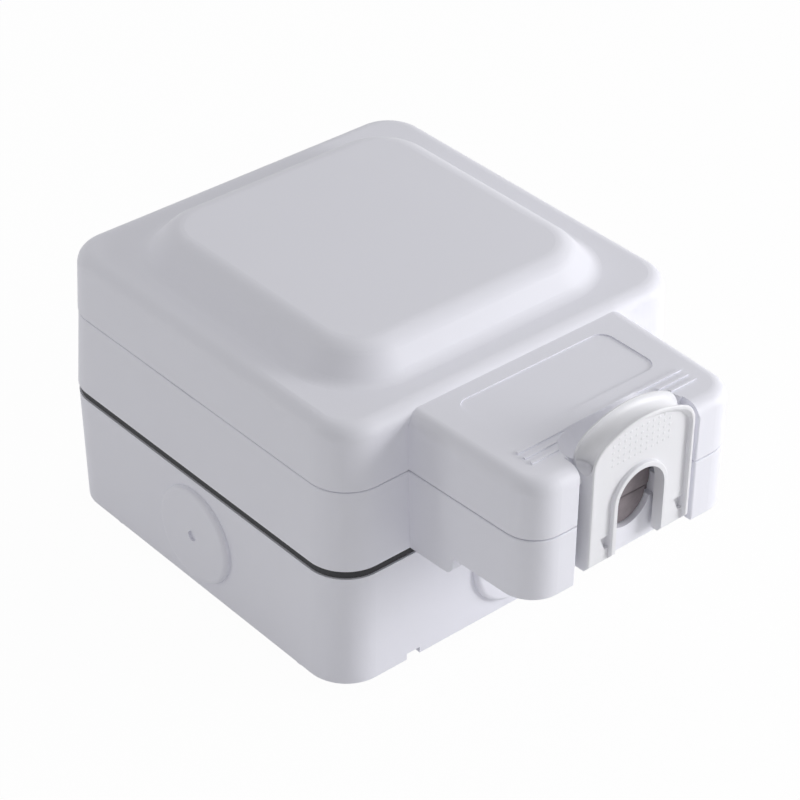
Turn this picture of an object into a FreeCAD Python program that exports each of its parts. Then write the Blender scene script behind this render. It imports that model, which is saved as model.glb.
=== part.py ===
import FreeCAD, Part
import math
import os

V = FreeCAD.Vector

# One-gang weatherproof socket with a hinged lid, millimetres. Z = 0 is the wall, +Z comes out of it,
# +Y is the hinge side and -Y is the side where the cable leaves.

# General moulding
WALL = 2.5
CORNER_R = 12.0
TOUCH = 0.3                     # air gap between parts that pass each other
RUN = 0.06                      # radial running clearance of a pin in its bore
OVER = 1.0                      # how far a cutting tool runs past a face
BITE = 0.4                      # how far a fused rib sinks into its carrier

# Heights of the stacked mouldings
FOOT_H = 3.0
BOX_H = 35.5
GASKET_T = 2.7
FRAME_H = 23.8
LID_H = 18.8
BOX_TOP = FOOT_H + BOX_H
FRAME_BASE = BOX_TOP + GASKET_T
PARTING = FRAME_BASE + FRAME_H
LID_BASE = PARTING + TOUCH
LID_TOP = LID_BASE + LID_H

# Half widths of the square body, slightly drafted
LID_HALF = 60.0
LID_DRAFT = 0.6
FRAME_TOP_STEP = 0.15           # the frame sits this far inside the lid at the parting line
FRAME_FLARE = 1.0
BOX_DRAFT = 0.65
GASKET_STEP = 0.15              # the box's upper rim sits this far inside the frame's lower rim
FRAME_TOP_HALF = LID_HALF - FRAME_TOP_STEP
FRAME_BASE_HALF = FRAME_TOP_HALF + FRAME_FLARE
BOX_TOP_HALF = FRAME_BASE_HALF - GASKET_STEP
BOX_BASE_HALF = BOX_TOP_HALF - BOX_DRAFT
LID_EDGE_R = 4.5
PARTING_R = 0.4                 # small round along both sides of the parting line

# Pillow-shaped dome of the lid
DOME_H = 8.3
DOME_FOOT_HALF = 48.3
DOME_SLOPE_RUN = 6.9
DOME_FOOT_CORNER_R = 19.0
DOME_TOP_CORNER_R = 13.5
DOME_EDGE_R = 7.5
DOME_FOOT_R = 4.5

# Cable extension on the -Y side, shared by frame and lid
EXT_REACH = 43.8
EXT_ROOT_HALF = 37.5
EXT_TAPER = 1.7
EXT_CORNER_R = 9.5
EXT_EDGE_R = 4.0
EXT_DROP = 1.7                  # its top lies this far below the lid's rim
EXT_DEPTH = 18.2                # from the parting line to its underside
HEEL_REACH = 16.5               # the deeper stretch beside the frame
HEEL_R = 3.0
EXT_TIP_HALF = EXT_ROOT_HALF - EXT_TAPER
EXT_FRONT = -(LID_HALF + EXT_REACH)
EXT_TOP = LID_TOP - EXT_DROP
EXT_BASE = PARTING - EXT_DEPTH
HEEL_FRONT = -(LID_HALF + HEEL_REACH)

# Raised entry discs in the box walls
DISC_R = 14.6
DISC_PROUD = 1.8
DISC_ROUND = 1.5
DISC_Z = FOOT_H + 18.0
DISC_WEB = 1.6                  # what is left of the wall behind a disc
DIMPLE_R = 1.6
DIMPLE_DEPTH = 0.8

# Feet, drain and wall fixings of the box
FOOT_R = 4.0
FOOT_X = 54.0
FOOT_Y = 40.0
FLOOR_T = 3.0
FLOOR_TOP = FOOT_H + FLOOR_T
DRAIN_X = -35.0
DRAIN_W = 4.5
DRAIN_H = 2.0
FIXING_PITCH = 76.0
FIXING_R = 2.6
FIXING_COLLAR_R = 5.0
FIXING_COLLAR_H = 3.0

# Frame screws in the corners
SCREW_PITCH = 93.0
SCREW_R = 2.0
SCREW_HEAD_R = 3.8
SCREW_HEAD_H = 2.4
SCREW_L = 30.0
SCREW_SLOT_W = 1.0
SCREW_SLOT_DEPTH = 1.1
WASHER_ROOM = 0.1
WASHER_R = 4.2
WASHER_T = 0.8
POST_R = 5.2
POST_GAP = 0.2
INSERT_R = 3.1
INSERT_L = 10.0
GUSSET_T = 1.6

# Deck of the frame and ledge for the lid seal
DECK_TOP = 48.0
DECK_T = 3.0
DECK_BASE = DECK_TOP - DECK_T
INNER_INSET = 6.5
LEDGE_DEPTH = 3.0
SEAL_T = 2.7
SEAL_OUTER_INSET = WALL + 0.2
SEAL_INNER_INSET = INNER_INSET - 0.3
RIB_OUTER_INSET = 4.0
RIB_T = 1.2
MOAT_T = 2.0
TROUGH_FLOOR = EXT_BASE + WALL
GASKET_INSET = 0.4
GASKET_W = 4.6

# Hinge on the +Y side
HINGE_OUT = 4.3                 # pin axis beyond the lid's wall
HINGE_Z = PARTING + TOUCH / 2
HINGE_X = 34.0
KNUCKLE_R = 3.5
PIN_R = 1.5
LID_KNUCKLE_L = 14.0
FRAME_KNUCKLE_L = 6.0
KNUCKLE_GAP = 0.3
HINGE_Y = LID_HALF + HINGE_OUT

# Cable mouth between the jaws
NOTCH_HALF = 20.5
PIER_HALF = 15.2
PIER_SET = 3.3                  # pier face behind the jaw faces
CHANNEL_SET = 6.2               # back of the channels that the latch legs stand in
CABLE_R = 8.1
CABLE_Z = PARTING - 3.6
JAW_EDGE_R = 0.6
PIER_LIP_DROP = 5.9
PIER_LIP_HALF = 9.4
GROOVE_W = 1.2
GROOVE_DEPTH = 1.0
PIER_Y = EXT_FRONT + PIER_SET
CHANNEL_Y = EXT_FRONT + CHANNEL_SET
SEAL_HALF = 12.3
SEAL_BLOCK_T = 6.0
FLEX_R = 4.1
NOSE_SET = 1.0                  # the seals' noses lie this far behind the pier's face
MOUTH_R = 9.4
MOUTH_Z = PARTING - 1.0
POCKET_ROOF = 74.6              # roof of the cavities under the dished top
BLOCK_BACK = EXT_FRONT + 16.3
JAW_WALL = 2.5
DISH_R = 11.5                   # round dish behind the latch's hood
DISH_Z = 89.5
DISH_HALF = 11.0
DISH_Y = CHANNEL_Y - 1.0

# Latch
LATCH_HALF = 17.7
LATCH_PROUD = 1.5               # its rim in front of the jaw faces
LATCH_DEPTH = 7.2
LATCH_FOOT_Z = 49.6
LATCH_SHOULDER_R = 7.0
LATCH_CROWN_R = 30.0
LATCH_PEAK_Z = 90.0
LATCH_EDGE_R = 0.5
CREST_RISE = 0.6                # the hood's back crest stands this far above its front rim
RIM_W = 1.3
RIM_EDGE = 0.3                  # bevel on the rim's inner edge
RIM_DEPTH = 1.4
ARCH_DROP = 1.2                 # slope of the recess under the arch
FOOT_RISE = 1.7                 # bevel at the foot of the rim
PLATE_T = 2.3
COLLAR_W = 1.4
COLLAR_PROUD = 1.2
COLLAR_EDGE_R = 0.4
SLOT_CENTRE_Z = PARTING + 0.5
HOOD_Z = 79.5
HOOD_GROOVE_R = 3.3
HOOD_GROOVE_SIDE_DEPTH = 1.6
HOOD_GROOVE_TOP_DEPTH = 2.3
HOOD_GROOVE_SET = 3.6           # its middle behind the front of the rim
HOOD_GROOVE_FOOT_Z = 81.2
LATCH_PIVOT_Z = 76.0
PIVOT_SET = 1.7                 # the pivot in front of the latch's back
SWING = 20.0                    # how far the latch opens, degrees
TRUNNION_R = 1.5
BORE_DEPTH = 2.1
BARB_Z = 54.5
BARB_H = 3.4
BARB_REACH = 1.7
BARB_ROOM = 0.5
VEE_TOP_Z = 57.0
VEE_H = 3.9
VEE_W = 3.0
VEE_FOOT_W = 1.3
VEE_DEPTH = 1.2
LATCH_FRONT = EXT_FRONT - LATCH_PROUD
LATCH_BACK = LATCH_FRONT + LATCH_DEPTH
PANEL_Y = LATCH_FRONT + RIM_DEPTH
PLATE_BACK = PANEL_Y + PLATE_T
FLANGE_INNER = LATCH_HALF - 2.0
PIVOT_Y = LATCH_BACK - PIVOT_SET

# Plain sunken label field and grip ridges on the extension
LABEL_X = 25.8
LABEL_BACK = -63.3
LABEL_FRONT = -84.0
LABEL_R = 4.0
LABEL_DEPTH = 0.4
RIDGE_HALF = 28.3
RIDGE_FRONT = -94.3
RIDGE_PITCH = 2.6
RIDGE_COUNT = 3
RIDGE_W = 0.8
RIDGE_H = 0.5

# Socket module under the deck
FACE_HALF_X = 33.0
FACE_BACK = -36.0
FACE_TOP = 38.0
FACE_R = 4.0
FACE_PROUD = 0.4
FACE_T = 2.5
FACE_Z = DECK_TOP + FACE_PROUD
FACE_UNDER = FACE_Z - FACE_T
MODULE_FIT = 0.3
FLANGE_OUT = 5.5
FLANGE_T = 2.7
FLANGE_BASE = DECK_BASE - FLANGE_T
SKIRT_T = 2.2
REAR_FLOOR_T = 2.5
REAR_DEPTH = 20.8
REAR_BASE = FLANGE_BASE - REAR_DEPTH
MODULE_SCREW_R = 1.4
MODULE_SCREW_L = 5.0
MODULE_SCREW_HEAD_R = 2.6
MODULE_SCREW_HEAD_H = 1.6
MODULE_SCREW_X = 35.9
MODULE_SCREW_Y = (-26.0, 28.0)

# Pin pattern of the 13 A plug
EARTH_Y = 9.0
PIN_DROP = 22.23
PIN_SPREAD = 11.11
EARTH_PIN = (3.97, 7.92)
LINE_PIN = (6.35, 3.97)
SLOT_ROOM = 0.4
LINE_Y = EARTH_Y - PIN_DROP

# Shutter and its spring
SHUTTER_T = 2.2
SHUTTER_TRAVEL = 6.0
SHUTTER_STEM_HALF = 5.0
SHUTTER_FLAP_OUT = 5.2
SHUTTER_FLAP_HALF_Y = 3.0
SHUTTER_RAMP_REACH = 1.5
SHUTTER_TAB_T = 2.0
SHUTTER_TAB_H = 4.4
SHUTTER_TOP = FACE_UNDER - TOUCH
SHUTTER_BASE = SHUTTER_TOP - SHUTTER_T
SPRING_WIRE_R = 0.3
SPRING_COIL_R = 1.7
SPRING_TURNS = 9

# Switch rocker
ROCKER_Y = 28.8
ROCKER_HALF_X = 9.0
ROCKER_HALF_Y = 6.2
ROCKER_TILT = 6.0
ROCKER_AXIS_Z = 45.2
ROCKER_H = 4.2
ROCKER_PIN_R = 1.5
ROCKER_PIN_L = 2.0
CHEEK_T = 2.4
CHEEK_DROP = 3.0
NOSE_L = 5.0
NOSE_R = 1.6

# Contacts
BRASS_T = 0.8
CLIP_TOP = 40.6
CLIP_H = 12.0
CLIP_FLARE = 1.0
BASE_GAP = 0.2
CAGE = 8.6
CAGE_T = 1.3
CAGE_L = 9.0
CAGE_Y = -28.0
EARTH_CAGE_Y = 20.0
SEAT_RIM = 1.2                  # width of the rear moulding's seat beside a contact
CLAMP_R = 1.9
CLAMP_HEAD_R = 2.6
CLAMP_HEAD_H = 1.8
BLADE_T = 0.5
BLADE_W = 5.0
BLADE_X = 4.6

# Earth block on the box floor
EARTH_BLOCK_X = 22.0
EARTH_BLOCK_Y = -47.0
EARTH_BLOCK_L = 12.0
EARTH_BLOCK_W = 8.0
EARTH_BLOCK_H = 8.0
EARTH_PAD_H = 2.0
EARTH_WIRE_R = 2.1


def plan(z):
    """Places (u, v) as (x, y) at height z."""
    return lambda u, v: V(u, v, z)


def front(y):
    """Places (u, v) as (x, z) in the plane at y."""
    return lambda u, v: V(u, y, v)


def side(x):
    """Places (u, v) as (y, z) in the plane at x."""
    return lambda u, v: V(x, u, v)


def turned_corner(before, here, after, radius):
    """Start, middle and end of the arc that rounds one corner of an outline."""
    back = (before - here).normalize()
    on = (after - here).normalize()
    half = back.getAngle(on) / 2
    reach = radius / math.tan(half)
    bisector = (back + on).normalize()
    middle = here + bisector * (radius / math.sin(half) - radius)
    return here + back * reach, middle, here + on * reach


def rounded_wire(corners, place):
    """Closed outline through (u, v, radius) corners: straight sides joined by tangent arcs."""
    points = [V(u, v, 0) for u, v, r in corners]
    joints = []
    for i, (u, v, r) in enumerate(corners):
        if r > 0:
            joints.append(turned_corner(points[i - 1], points[i], points[(i + 1) % len(points)], r))
        else:
            joints.append((points[i], None, points[i]))
    edges = []
    for i, (start, middle, end) in enumerate(joints):
        if middle is not None:
            arc = Part.Arc(place(start.x, start.y), place(middle.x, middle.y), place(end.x, end.y))
            edges.append(arc.toShape())
        following = joints[(i + 1) % len(joints)][0]
        if (following - end).Length > 1e-6:
            edges.append(Part.LineSegment(place(end.x, end.y), place(following.x, following.y)).toShape())
    return Part.Wire(edges)


def prism(corners, place, depth):
    """Solid from an outline of (u, v, radius) corners, pushed along the vector depth."""
    return Part.Face(rounded_wire(corners, place)).extrude(depth)


def box(x0, x1, y0, y1, z0, z1):
    return Part.makeBox(x1 - x0, y1 - y0, z1 - z0, V(x0, y0, z0))


def rod(radius, start, end):
    return Part.makeCylinder(radius, (end - start).Length, start, end - start)


def ring(outer_r, inner_r, start, end):
    return rod(outer_r, start, end).cut(rod(inner_r, start, end))


def square_corners(half, radius):
    return [(-half, -half, radius), (half, -half, radius), (half, half, radius), (-half, half, radius)]


def rect_corners(x0, x1, y0, y1, radius):
    return [(x0, y0, radius), (x1, y0, radius), (x1, y1, radius), (x0, y1, radius)]


def drafted_square(half0, z0, half1, z1, radius0=CORNER_R, radius1=CORNER_R):
    """Rounded square that changes its half width from z0 to z1."""
    low = rounded_wire(square_corners(half0, radius0), plan(z0))
    high = rounded_wire(square_corners(half1, radius1), plan(z1))
    return Part.makeLoft([low, high], True, True)


def square_prism(inset, z0, z1):
    corners = square_corners(FRAME_TOP_HALF - inset, CORNER_R - min(inset, CORNER_R - OVER))
    return prism(corners, plan(z0), V(0, 0, z1 - z0))


def ext_prism(inset, z0, z1, front_y=EXT_FRONT):
    """The tapered cable extension in plan, shrunk by inset and reaching well into the square body."""
    overlap = -(LID_HALF - 2 * INNER_INSET)
    tip = EXT_TIP_HALF - inset
    root = EXT_ROOT_HALF - inset
    corner = max(EXT_CORNER_R - inset, OVER)
    corners = [(-root, overlap, 0), (-root, -LID_HALF, 0), (-tip, front_y + inset, corner),
               (tip, front_y + inset, corner), (root, -LID_HALF, 0), (root, overlap, 0)]
    return prism(corners, plan(z0), V(0, 0, z1 - z0))


def plan_prism(inset, z0, z1):
    """The whole outline seen from the front, square plus extension, shrunk by inset."""
    return square_prism(inset, z0, z1).fuse(ext_prism(inset, z0, z1)).removeSplitter()


def edges_at(shape, z, keep):
    """Edges that lie in the plane at z and whose middle passes the test keep."""
    found = []
    for edge in shape.Edges:
        bound = edge.BoundBox
        if abs(bound.ZMin - z) < 1e-3 and abs(bound.ZMax - z) < 1e-3 and keep(bound.Center):
            found.append(edge)
    return found


def rounded_at(shape, z):
    """The body with the outer edges at height z slightly rounded."""
    inside = -(LID_HALF - 2 * INNER_INSET)
    square = shape.BoundBox.YMax > LID_HALF / 2
    return shape.makeFillet(PARTING_R, edges_at(shape, z, lambda c: square or c.y < inside - OVER))


def four_corners(pitch_x, pitch_y):
    return [(sx * pitch_x / 2, sy * pitch_y / 2) for sx in (-1, 1) for sy in (-1, 1)]


def joined(first, rest):
    return first.fuse(rest).removeSplitter()


def group(shapes):
    return Part.makeCompound(shapes)


def mirrored(shape):
    """The shape and its mirror image across the middle plane."""
    return [shape, shape.mirror(V(0, 0, 0), V(1, 0, 0))]


# Back box


def entry_disc(angle):
    """Raised disc on one wall: a cylinder with a rounded rim and a small centre dimple."""
    face = BOX_TOP_HALF + DISC_PROUD - BOX_DRAFT / 2
    disc = rod(DISC_R, V(BOX_BASE_HALF - WALL / 2, 0, DISC_Z), V(face, 0, DISC_Z))
    rim = [e for e in disc.Edges if abs(e.BoundBox.XMin - face) < 1e-3 and abs(e.BoundBox.XMax - face) < 1e-3]
    disc = disc.makeFillet(DISC_ROUND, rim)
    dimple = rod(DIMPLE_R, V(face - DIMPLE_DEPTH, 0, DISC_Z), V(face + OVER, 0, DISC_Z))
    return disc.cut(dimple).rotate(V(0, 0, 0), V(0, 0, 1), angle)


def entry_recess(angle):
    """Pocket behind a disc that leaves a thin web to be cut out."""
    face = BOX_TOP_HALF + DISC_PROUD - BOX_DRAFT / 2
    inner = face - DIMPLE_DEPTH - DISC_WEB
    tool = rod(DISC_R - WALL, V(BOX_BASE_HALF - 2 * WALL, 0, DISC_Z), V(inner, 0, DISC_Z))
    return tool.rotate(V(0, 0, 0), V(0, 0, 1), angle)


def screw_post(x, y):
    """Corner post with two gussets to the walls beside it."""
    top = FRAME_BASE - POST_GAP
    reach = BOX_BASE_HALF - WALL / 2
    post = rod(POST_R, V(x, y, FLOOR_TOP - BITE), V(x, y, top))
    end_x = math.copysign(reach, x)
    end_y = math.copysign(reach, y)
    half = GUSSET_T / 2
    low = FLOOR_TOP - BITE
    high = BOX_TOP - WALL
    across = box(min(x, end_x), max(x, end_x), y - half, y + half, low, high)
    along = box(x - half, x + half, min(y, end_y), max(y, end_y), low, high)
    return post.fuse([across, along])


def back_box():
    shell = drafted_square(BOX_BASE_HALF, FOOT_H, BOX_TOP_HALF, BOX_TOP)
    inner_r = CORNER_R - WALL
    cavity = drafted_square(BOX_BASE_HALF - WALL, FLOOR_TOP, BOX_TOP_HALF - WALL, BOX_TOP + OVER, inner_r, inner_r)
    shell = shell.fuse([entry_disc(angle) for angle in (0, 90, 180, 270)])
    shell = shell.cut([cavity] + [entry_recess(angle) for angle in (0, 90, 180, 270)])
    posts = [screw_post(x, y) for x, y in four_corners(SCREW_PITCH, SCREW_PITCH)]
    feet = [rod(FOOT_R, V(x, y, 0), V(x, y, FOOT_H + BITE)) for x, y in four_corners(2 * FOOT_X, 2 * FOOT_Y)]
    collars = [rod(FIXING_COLLAR_R, V(x, y, 0), V(x, y, FLOOR_TOP + FIXING_COLLAR_H))
               for x, y in four_corners(FIXING_PITCH, FIXING_PITCH)]
    pad = box(EARTH_BLOCK_X - EARTH_BLOCK_L / 2, EARTH_BLOCK_X + EARTH_BLOCK_L / 2,
              EARTH_BLOCK_Y - EARTH_BLOCK_W / 2, EARTH_BLOCK_Y + EARTH_BLOCK_W / 2,
              FLOOR_TOP - BITE, FLOOR_TOP + EARTH_PAD_H)
    shell = joined(shell, posts + feet + collars + [pad])
    insert_base = FRAME_BASE - POST_GAP - INSERT_L
    pilots = []
    for x, y in four_corners(SCREW_PITCH, SCREW_PITCH):
        pilots.append(rod(INSERT_R, V(x, y, insert_base), V(x, y, FRAME_BASE + OVER)))
        pilots.append(rod(SCREW_R + TOUCH, V(x, y, FLOOR_TOP), V(x, y, insert_base + OVER)))
    holes = [rod(FIXING_R, V(x, y, -OVER), V(x, y, FLOOR_TOP + FIXING_COLLAR_H + OVER))
             for x, y in four_corners(FIXING_PITCH, FIXING_PITCH)]
    drain = box(DRAIN_X - DRAIN_W / 2, DRAIN_X + DRAIN_W / 2, -BOX_TOP_HALF - OVER, -BOX_BASE_HALF + WALL,
                FOOT_H - OVER, FOOT_H + DRAIN_H)
    return shell.cut(pilots + holes + [drain])


def box_gasket():
    outer = square_corners(BOX_TOP_HALF - GASKET_INSET, CORNER_R - GASKET_INSET)
    inner_inset = GASKET_INSET + GASKET_W
    inner = square_corners(BOX_TOP_HALF - inner_inset, CORNER_R - inner_inset)
    height = V(0, 0, GASKET_T)
    return prism(outer, plan(BOX_TOP), height).cut(prism(inner, plan(BOX_TOP), height))


def post_inserts():
    top = FRAME_BASE - POST_GAP
    return group([ring(INSERT_R, SCREW_R, V(x, y, top - INSERT_L), V(x, y, top))
                  for x, y in four_corners(SCREW_PITCH, SCREW_PITCH)])


def slotted_screw(x, y, seat, length, shank_r, head_r, head_h, down=1):
    """Screw whose head rests on the plane at seat; down is -1 for one that is driven upwards."""
    shank = rod(shank_r, V(x, y, seat), V(x, y, seat - down * length))
    head = rod(head_r, V(x, y, seat), V(x, y, seat + down * head_h))
    crown = seat + down * head_h
    rim = [e for e in head.Edges if abs(e.BoundBox.ZMin - crown) < 1e-3 and abs(e.BoundBox.ZMax - crown) < 1e-3]
    head = head.makeFillet(head_h / 3, rim)
    floor = crown - down * SCREW_SLOT_DEPTH
    past = crown + down * OVER
    groove = box(x - head_r, x + head_r, y - SCREW_SLOT_W / 2, y + SCREW_SLOT_W / 2, min(floor, past), max(floor, past))
    return joined(shank, [head]).cut(groove)


def frame_screws():
    return group([slotted_screw(x, y, DECK_TOP + WASHER_T, SCREW_L, SCREW_R, SCREW_HEAD_R, SCREW_HEAD_H)
                  for x, y in four_corners(SCREW_PITCH, SCREW_PITCH)])


def screw_washers():
    bore_r = SCREW_R + WASHER_ROOM
    return group([ring(WASHER_R, bore_r, V(x, y, DECK_TOP), V(x, y, DECK_TOP + WASHER_T))
                  for x, y in four_corners(SCREW_PITCH, SCREW_PITCH)])


def earth_block():
    base = FLOOR_TOP + EARTH_PAD_H
    block = box(EARTH_BLOCK_X - EARTH_BLOCK_L / 2, EARTH_BLOCK_X + EARTH_BLOCK_L / 2,
                EARTH_BLOCK_Y - EARTH_BLOCK_W / 2, EARTH_BLOCK_Y + EARTH_BLOCK_W / 2,
                base, base + EARTH_BLOCK_H)
    middle = base + EARTH_BLOCK_H / 2
    wire_way = rod(EARTH_WIRE_R, V(EARTH_BLOCK_X - EARTH_BLOCK_L, EARTH_BLOCK_Y, middle),
                   V(EARTH_BLOCK_X + EARTH_BLOCK_L, EARTH_BLOCK_Y, middle))
    clamp_way = rod(CLAMP_R, V(EARTH_BLOCK_X, EARTH_BLOCK_Y, middle), V(EARTH_BLOCK_X, EARTH_BLOCK_Y, base + 2 * EARTH_BLOCK_H))
    return block.cut([wire_way, clamp_way])


def earth_block_screw():
    top = FLOOR_TOP + EARTH_PAD_H + EARTH_BLOCK_H
    return slotted_screw(EARTH_BLOCK_X, EARTH_BLOCK_Y, top, EARTH_BLOCK_H / 2 - EARTH_WIRE_R, CLAMP_R, CLAMP_HEAD_R, CLAMP_HEAD_H)


# Front frame


def knuckle(x, length, bore_r):
    """Hinge barrel about the pin axis, with its bore."""
    barrel = rod(KNUCKLE_R, V(x - length / 2, HINGE_Y, HINGE_Z), V(x + length / 2, HINGE_Y, HINGE_Z))
    bore = rod(bore_r, V(x - length, HINGE_Y, HINGE_Z), V(x + length, HINGE_Y, HINGE_Z))
    return barrel, bore


def frame_knuckle_places():
    step = LID_KNUCKLE_L / 2 + KNUCKLE_GAP + FRAME_KNUCKLE_L / 2
    return [sx * HINGE_X + s * step for sx in (-1, 1) for s in (-1, 1)]


def frame_hinge_web(x):
    """Gusset that carries a frame knuckle from the wall below the parting line."""
    wall = FRAME_TOP_HALF - BITE
    low = HINGE_Z - 2 * KNUCKLE_R - HINGE_OUT
    corners = [(wall, low, 0), (HINGE_Y + KNUCKLE_R * math.sin(math.radians(60)), HINGE_Z - KNUCKLE_R / 2, 0),
               (HINGE_Y, HINGE_Z, 0), (wall, PARTING - TOUCH, 0)]
    return prism(corners, side(x - FRAME_KNUCKLE_L / 2), V(FRAME_KNUCKLE_L, 0, 0))


def jaw_rounders(z0, z1):
    """Cuts that round the upright front edges of the two jaws."""
    block = box(NOTCH_HALF - OVER, NOTCH_HALF + JAW_EDGE_R, EXT_FRONT - OVER, EXT_FRONT + JAW_EDGE_R, z0, z1)
    edge_x = NOTCH_HALF + JAW_EDGE_R
    edge_y = EXT_FRONT + JAW_EDGE_R
    return mirrored(block.cut(rod(JAW_EDGE_R, V(edge_x, edge_y, z0), V(edge_x, edge_y, z1))))


def frame_mouth_tools():
    """Cuts that make the pier between the jaws, its cable notch and the channels for the latch legs."""
    low = EXT_BASE - OVER
    high = PARTING + OVER
    tools = [box(-NOTCH_HALF, NOTCH_HALF, EXT_FRONT - OVER, PIER_Y, low, high)] + jaw_rounders(low, high)
    tools += mirrored(box(PIER_HALF, NOTCH_HALF, EXT_FRONT - OVER, CHANNEL_Y, low, high))
    tools.append(rod(CABLE_R, V(0, PIER_Y - OVER, CABLE_Z), V(0, CHANNEL_Y + OVER, CABLE_Z)))
    lip = PARTING - PIER_LIP_DROP
    tools.append(box(-PIER_LIP_HALF, PIER_LIP_HALF, PIER_Y - OVER, CHANNEL_Y + OVER, lip, high))
    tools += mirrored(box(PIER_LIP_HALF, PIER_LIP_HALF + GROOVE_W, PIER_Y - OVER, PIER_Y + GROOVE_DEPTH,
                          TROUGH_FLOOR, lip - BITE))
    tools.append(box(-SEAL_HALF, SEAL_HALF, PIER_Y + WALL, CHANNEL_Y + 2 * WALL, TROUGH_FLOOR, high))
    room_low = BARB_Z - BARB_H / 2 - BARB_ROOM
    room_high = BARB_Z + BARB_H / 2 + BARB_ROOM
    barb_tip = PLATE_BACK + BARB_REACH
    tools += mirrored(box(CABLE_R + COLLAR_W, PIER_HALF + OVER, PIER_Y - OVER, barb_tip + BARB_ROOM, room_low, room_high))
    return tools


def heel():
    """Deeper stretch of the extension beside the frame, with a rounded lower edge."""
    outline = ext_prism(0, FRAME_BASE, PARTING)
    depth = V(2 * EXT_ROOT_HALF, 0, 0)
    corners = [(-LID_HALF + WALL, FRAME_BASE, 0), (HEEL_FRONT, FRAME_BASE, HEEL_R),
               (HEEL_FRONT, EXT_BASE + OVER, 0), (-LID_HALF + WALL, EXT_BASE + OVER, 0)]
    return outline.common(prism(corners, side(-EXT_ROOT_HALF), depth))


def trough():
    """Space for the cable above the deck and inside the extension."""
    main = square_prism(INNER_INSET, DECK_TOP, PARTING + OVER)
    cable_way = ext_prism(INNER_INSET, TROUGH_FLOOR, PARTING + OVER)
    behind_pier = box(-EXT_ROOT_HALF, EXT_ROOT_HALF, EXT_FRONT, CHANNEL_Y + WALL, TROUGH_FLOOR - OVER, PARTING + 2 * OVER)
    return main.fuse(cable_way.cut(behind_pier))


def underside():
    """Open space under the deck, the core in the double wall, and the core of the heel."""
    under = square_prism(WALL, FRAME_BASE - OVER, DECK_BASE)
    moat_top = PARTING - LEDGE_DEPTH - WALL
    moat = square_prism(WALL, DECK_BASE - OVER, moat_top).cut(square_prism(WALL + MOAT_T, DECK_BASE - OVER, moat_top))
    moat = moat.cut(box(-EXT_ROOT_HALF, EXT_ROOT_HALF, -LID_HALF, -LID_HALF / 2, DECK_BASE - 2 * OVER, PARTING))
    heel_core = ext_prism(WALL, FRAME_BASE - OVER, DECK_BASE, HEEL_FRONT)
    heel_core = heel_core.cut(square_prism(-FRAME_FLARE, FRAME_BASE - 2 * OVER, DECK_BASE + OVER))
    return [under, moat, heel_core]


def face_opening():
    corners = rect_corners(-FACE_HALF_X - MODULE_FIT, FACE_HALF_X + MODULE_FIT, FACE_BACK - MODULE_FIT,
                           FACE_TOP + MODULE_FIT, FACE_R + MODULE_FIT)
    return prism(corners, plan(DECK_BASE - OVER), V(0, 0, DECK_T + 2 * OVER))


def front_frame():
    body = rounded_at(drafted_square(FRAME_BASE_HALF, FRAME_BASE, FRAME_TOP_HALF, PARTING), PARTING)
    body = body.fuse([rounded_at(ext_prism(0, EXT_BASE, PARTING), PARTING), heel()])
    body = body.cut([trough(), plan_prism(WALL, PARTING - LEDGE_DEPTH, PARTING + OVER).cut(jaw_block(0))])
    body = body.cut(underside())
    body = body.cut(frame_mouth_tools() + [face_opening()])
    bosses = [rod(POST_R, V(x, y, FRAME_BASE), V(x, y, DECK_BASE + BITE)) for x, y in four_corners(SCREW_PITCH, SCREW_PITCH)]
    holes = [rod(SCREW_R + TOUCH, V(x, y, FRAME_BASE - OVER), V(x, y, DECK_TOP + OVER))
             for x, y in four_corners(SCREW_PITCH, SCREW_PITCH)]
    barrels = [knuckle(x, FRAME_KNUCKLE_L, PIN_R) for x in frame_knuckle_places()]
    webs = [frame_hinge_web(x) for x in frame_knuckle_places()]
    body = joined(body, bosses + webs + [barrel for barrel, bore in barrels])
    return body.cut(holes + [bore for barrel, bore in barrels] + module_pilots())


def jaw_block(grow):
    """Solid zone between the jaws that the lid seal and the press rib leave free."""
    half = NOTCH_HALF + JAW_WALL + grow
    return box(-half, half, EXT_FRONT - OVER, BLOCK_BACK + grow, EXT_BASE, LID_TOP + DOME_H)


def lid_seal():
    low = PARTING - LEDGE_DEPTH
    strip = plan_prism(SEAL_OUTER_INSET, low, low + SEAL_T).cut(plan_prism(SEAL_INNER_INSET, low, low + SEAL_T))
    return strip.cut(jaw_block(TOUCH))


def cable_seal(z0, z1, front_y, nose_r, nose_z):
    """Soft block behind the mouth, with a round nose in the mouth and a half-round way for the flex."""
    back = front_y + SEAL_BLOCK_T
    nose_front = PIER_Y + NOSE_SET
    block = box(-SEAL_HALF + TOUCH, SEAL_HALF - TOUCH, front_y, back, z0, z1)
    nose = rod(nose_r, V(0, nose_front, nose_z), V(0, back, nose_z))
    slab = box(-SEAL_HALF, SEAL_HALF, nose_front, back, z0, z1)
    seal = joined(block, [nose.common(slab)])
    return seal.cut(rod(FLEX_R, V(0, nose_front - OVER, CABLE_Z), V(0, back + OVER, CABLE_Z)))


def lower_cable_seal():
    return cable_seal(TROUGH_FLOOR, CABLE_Z, PIER_Y + WALL, CABLE_R - TOUCH, CABLE_Z)


def upper_cable_seal():
    return cable_seal(CABLE_Z + TOUCH, POCKET_ROOF, CHANNEL_Y + WALL, MOUTH_R - TOUCH, MOUTH_Z)


def hinge_pins():
    half = LID_KNUCKLE_L / 2 + KNUCKLE_GAP + FRAME_KNUCKLE_L
    return group([rod(PIN_R, V(sx * HINGE_X - half, HINGE_Y, HINGE_Z), V(sx * HINGE_X + half, HINGE_Y, HINGE_Z))
                  for sx in (-1, 1)])


# Lid


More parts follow.
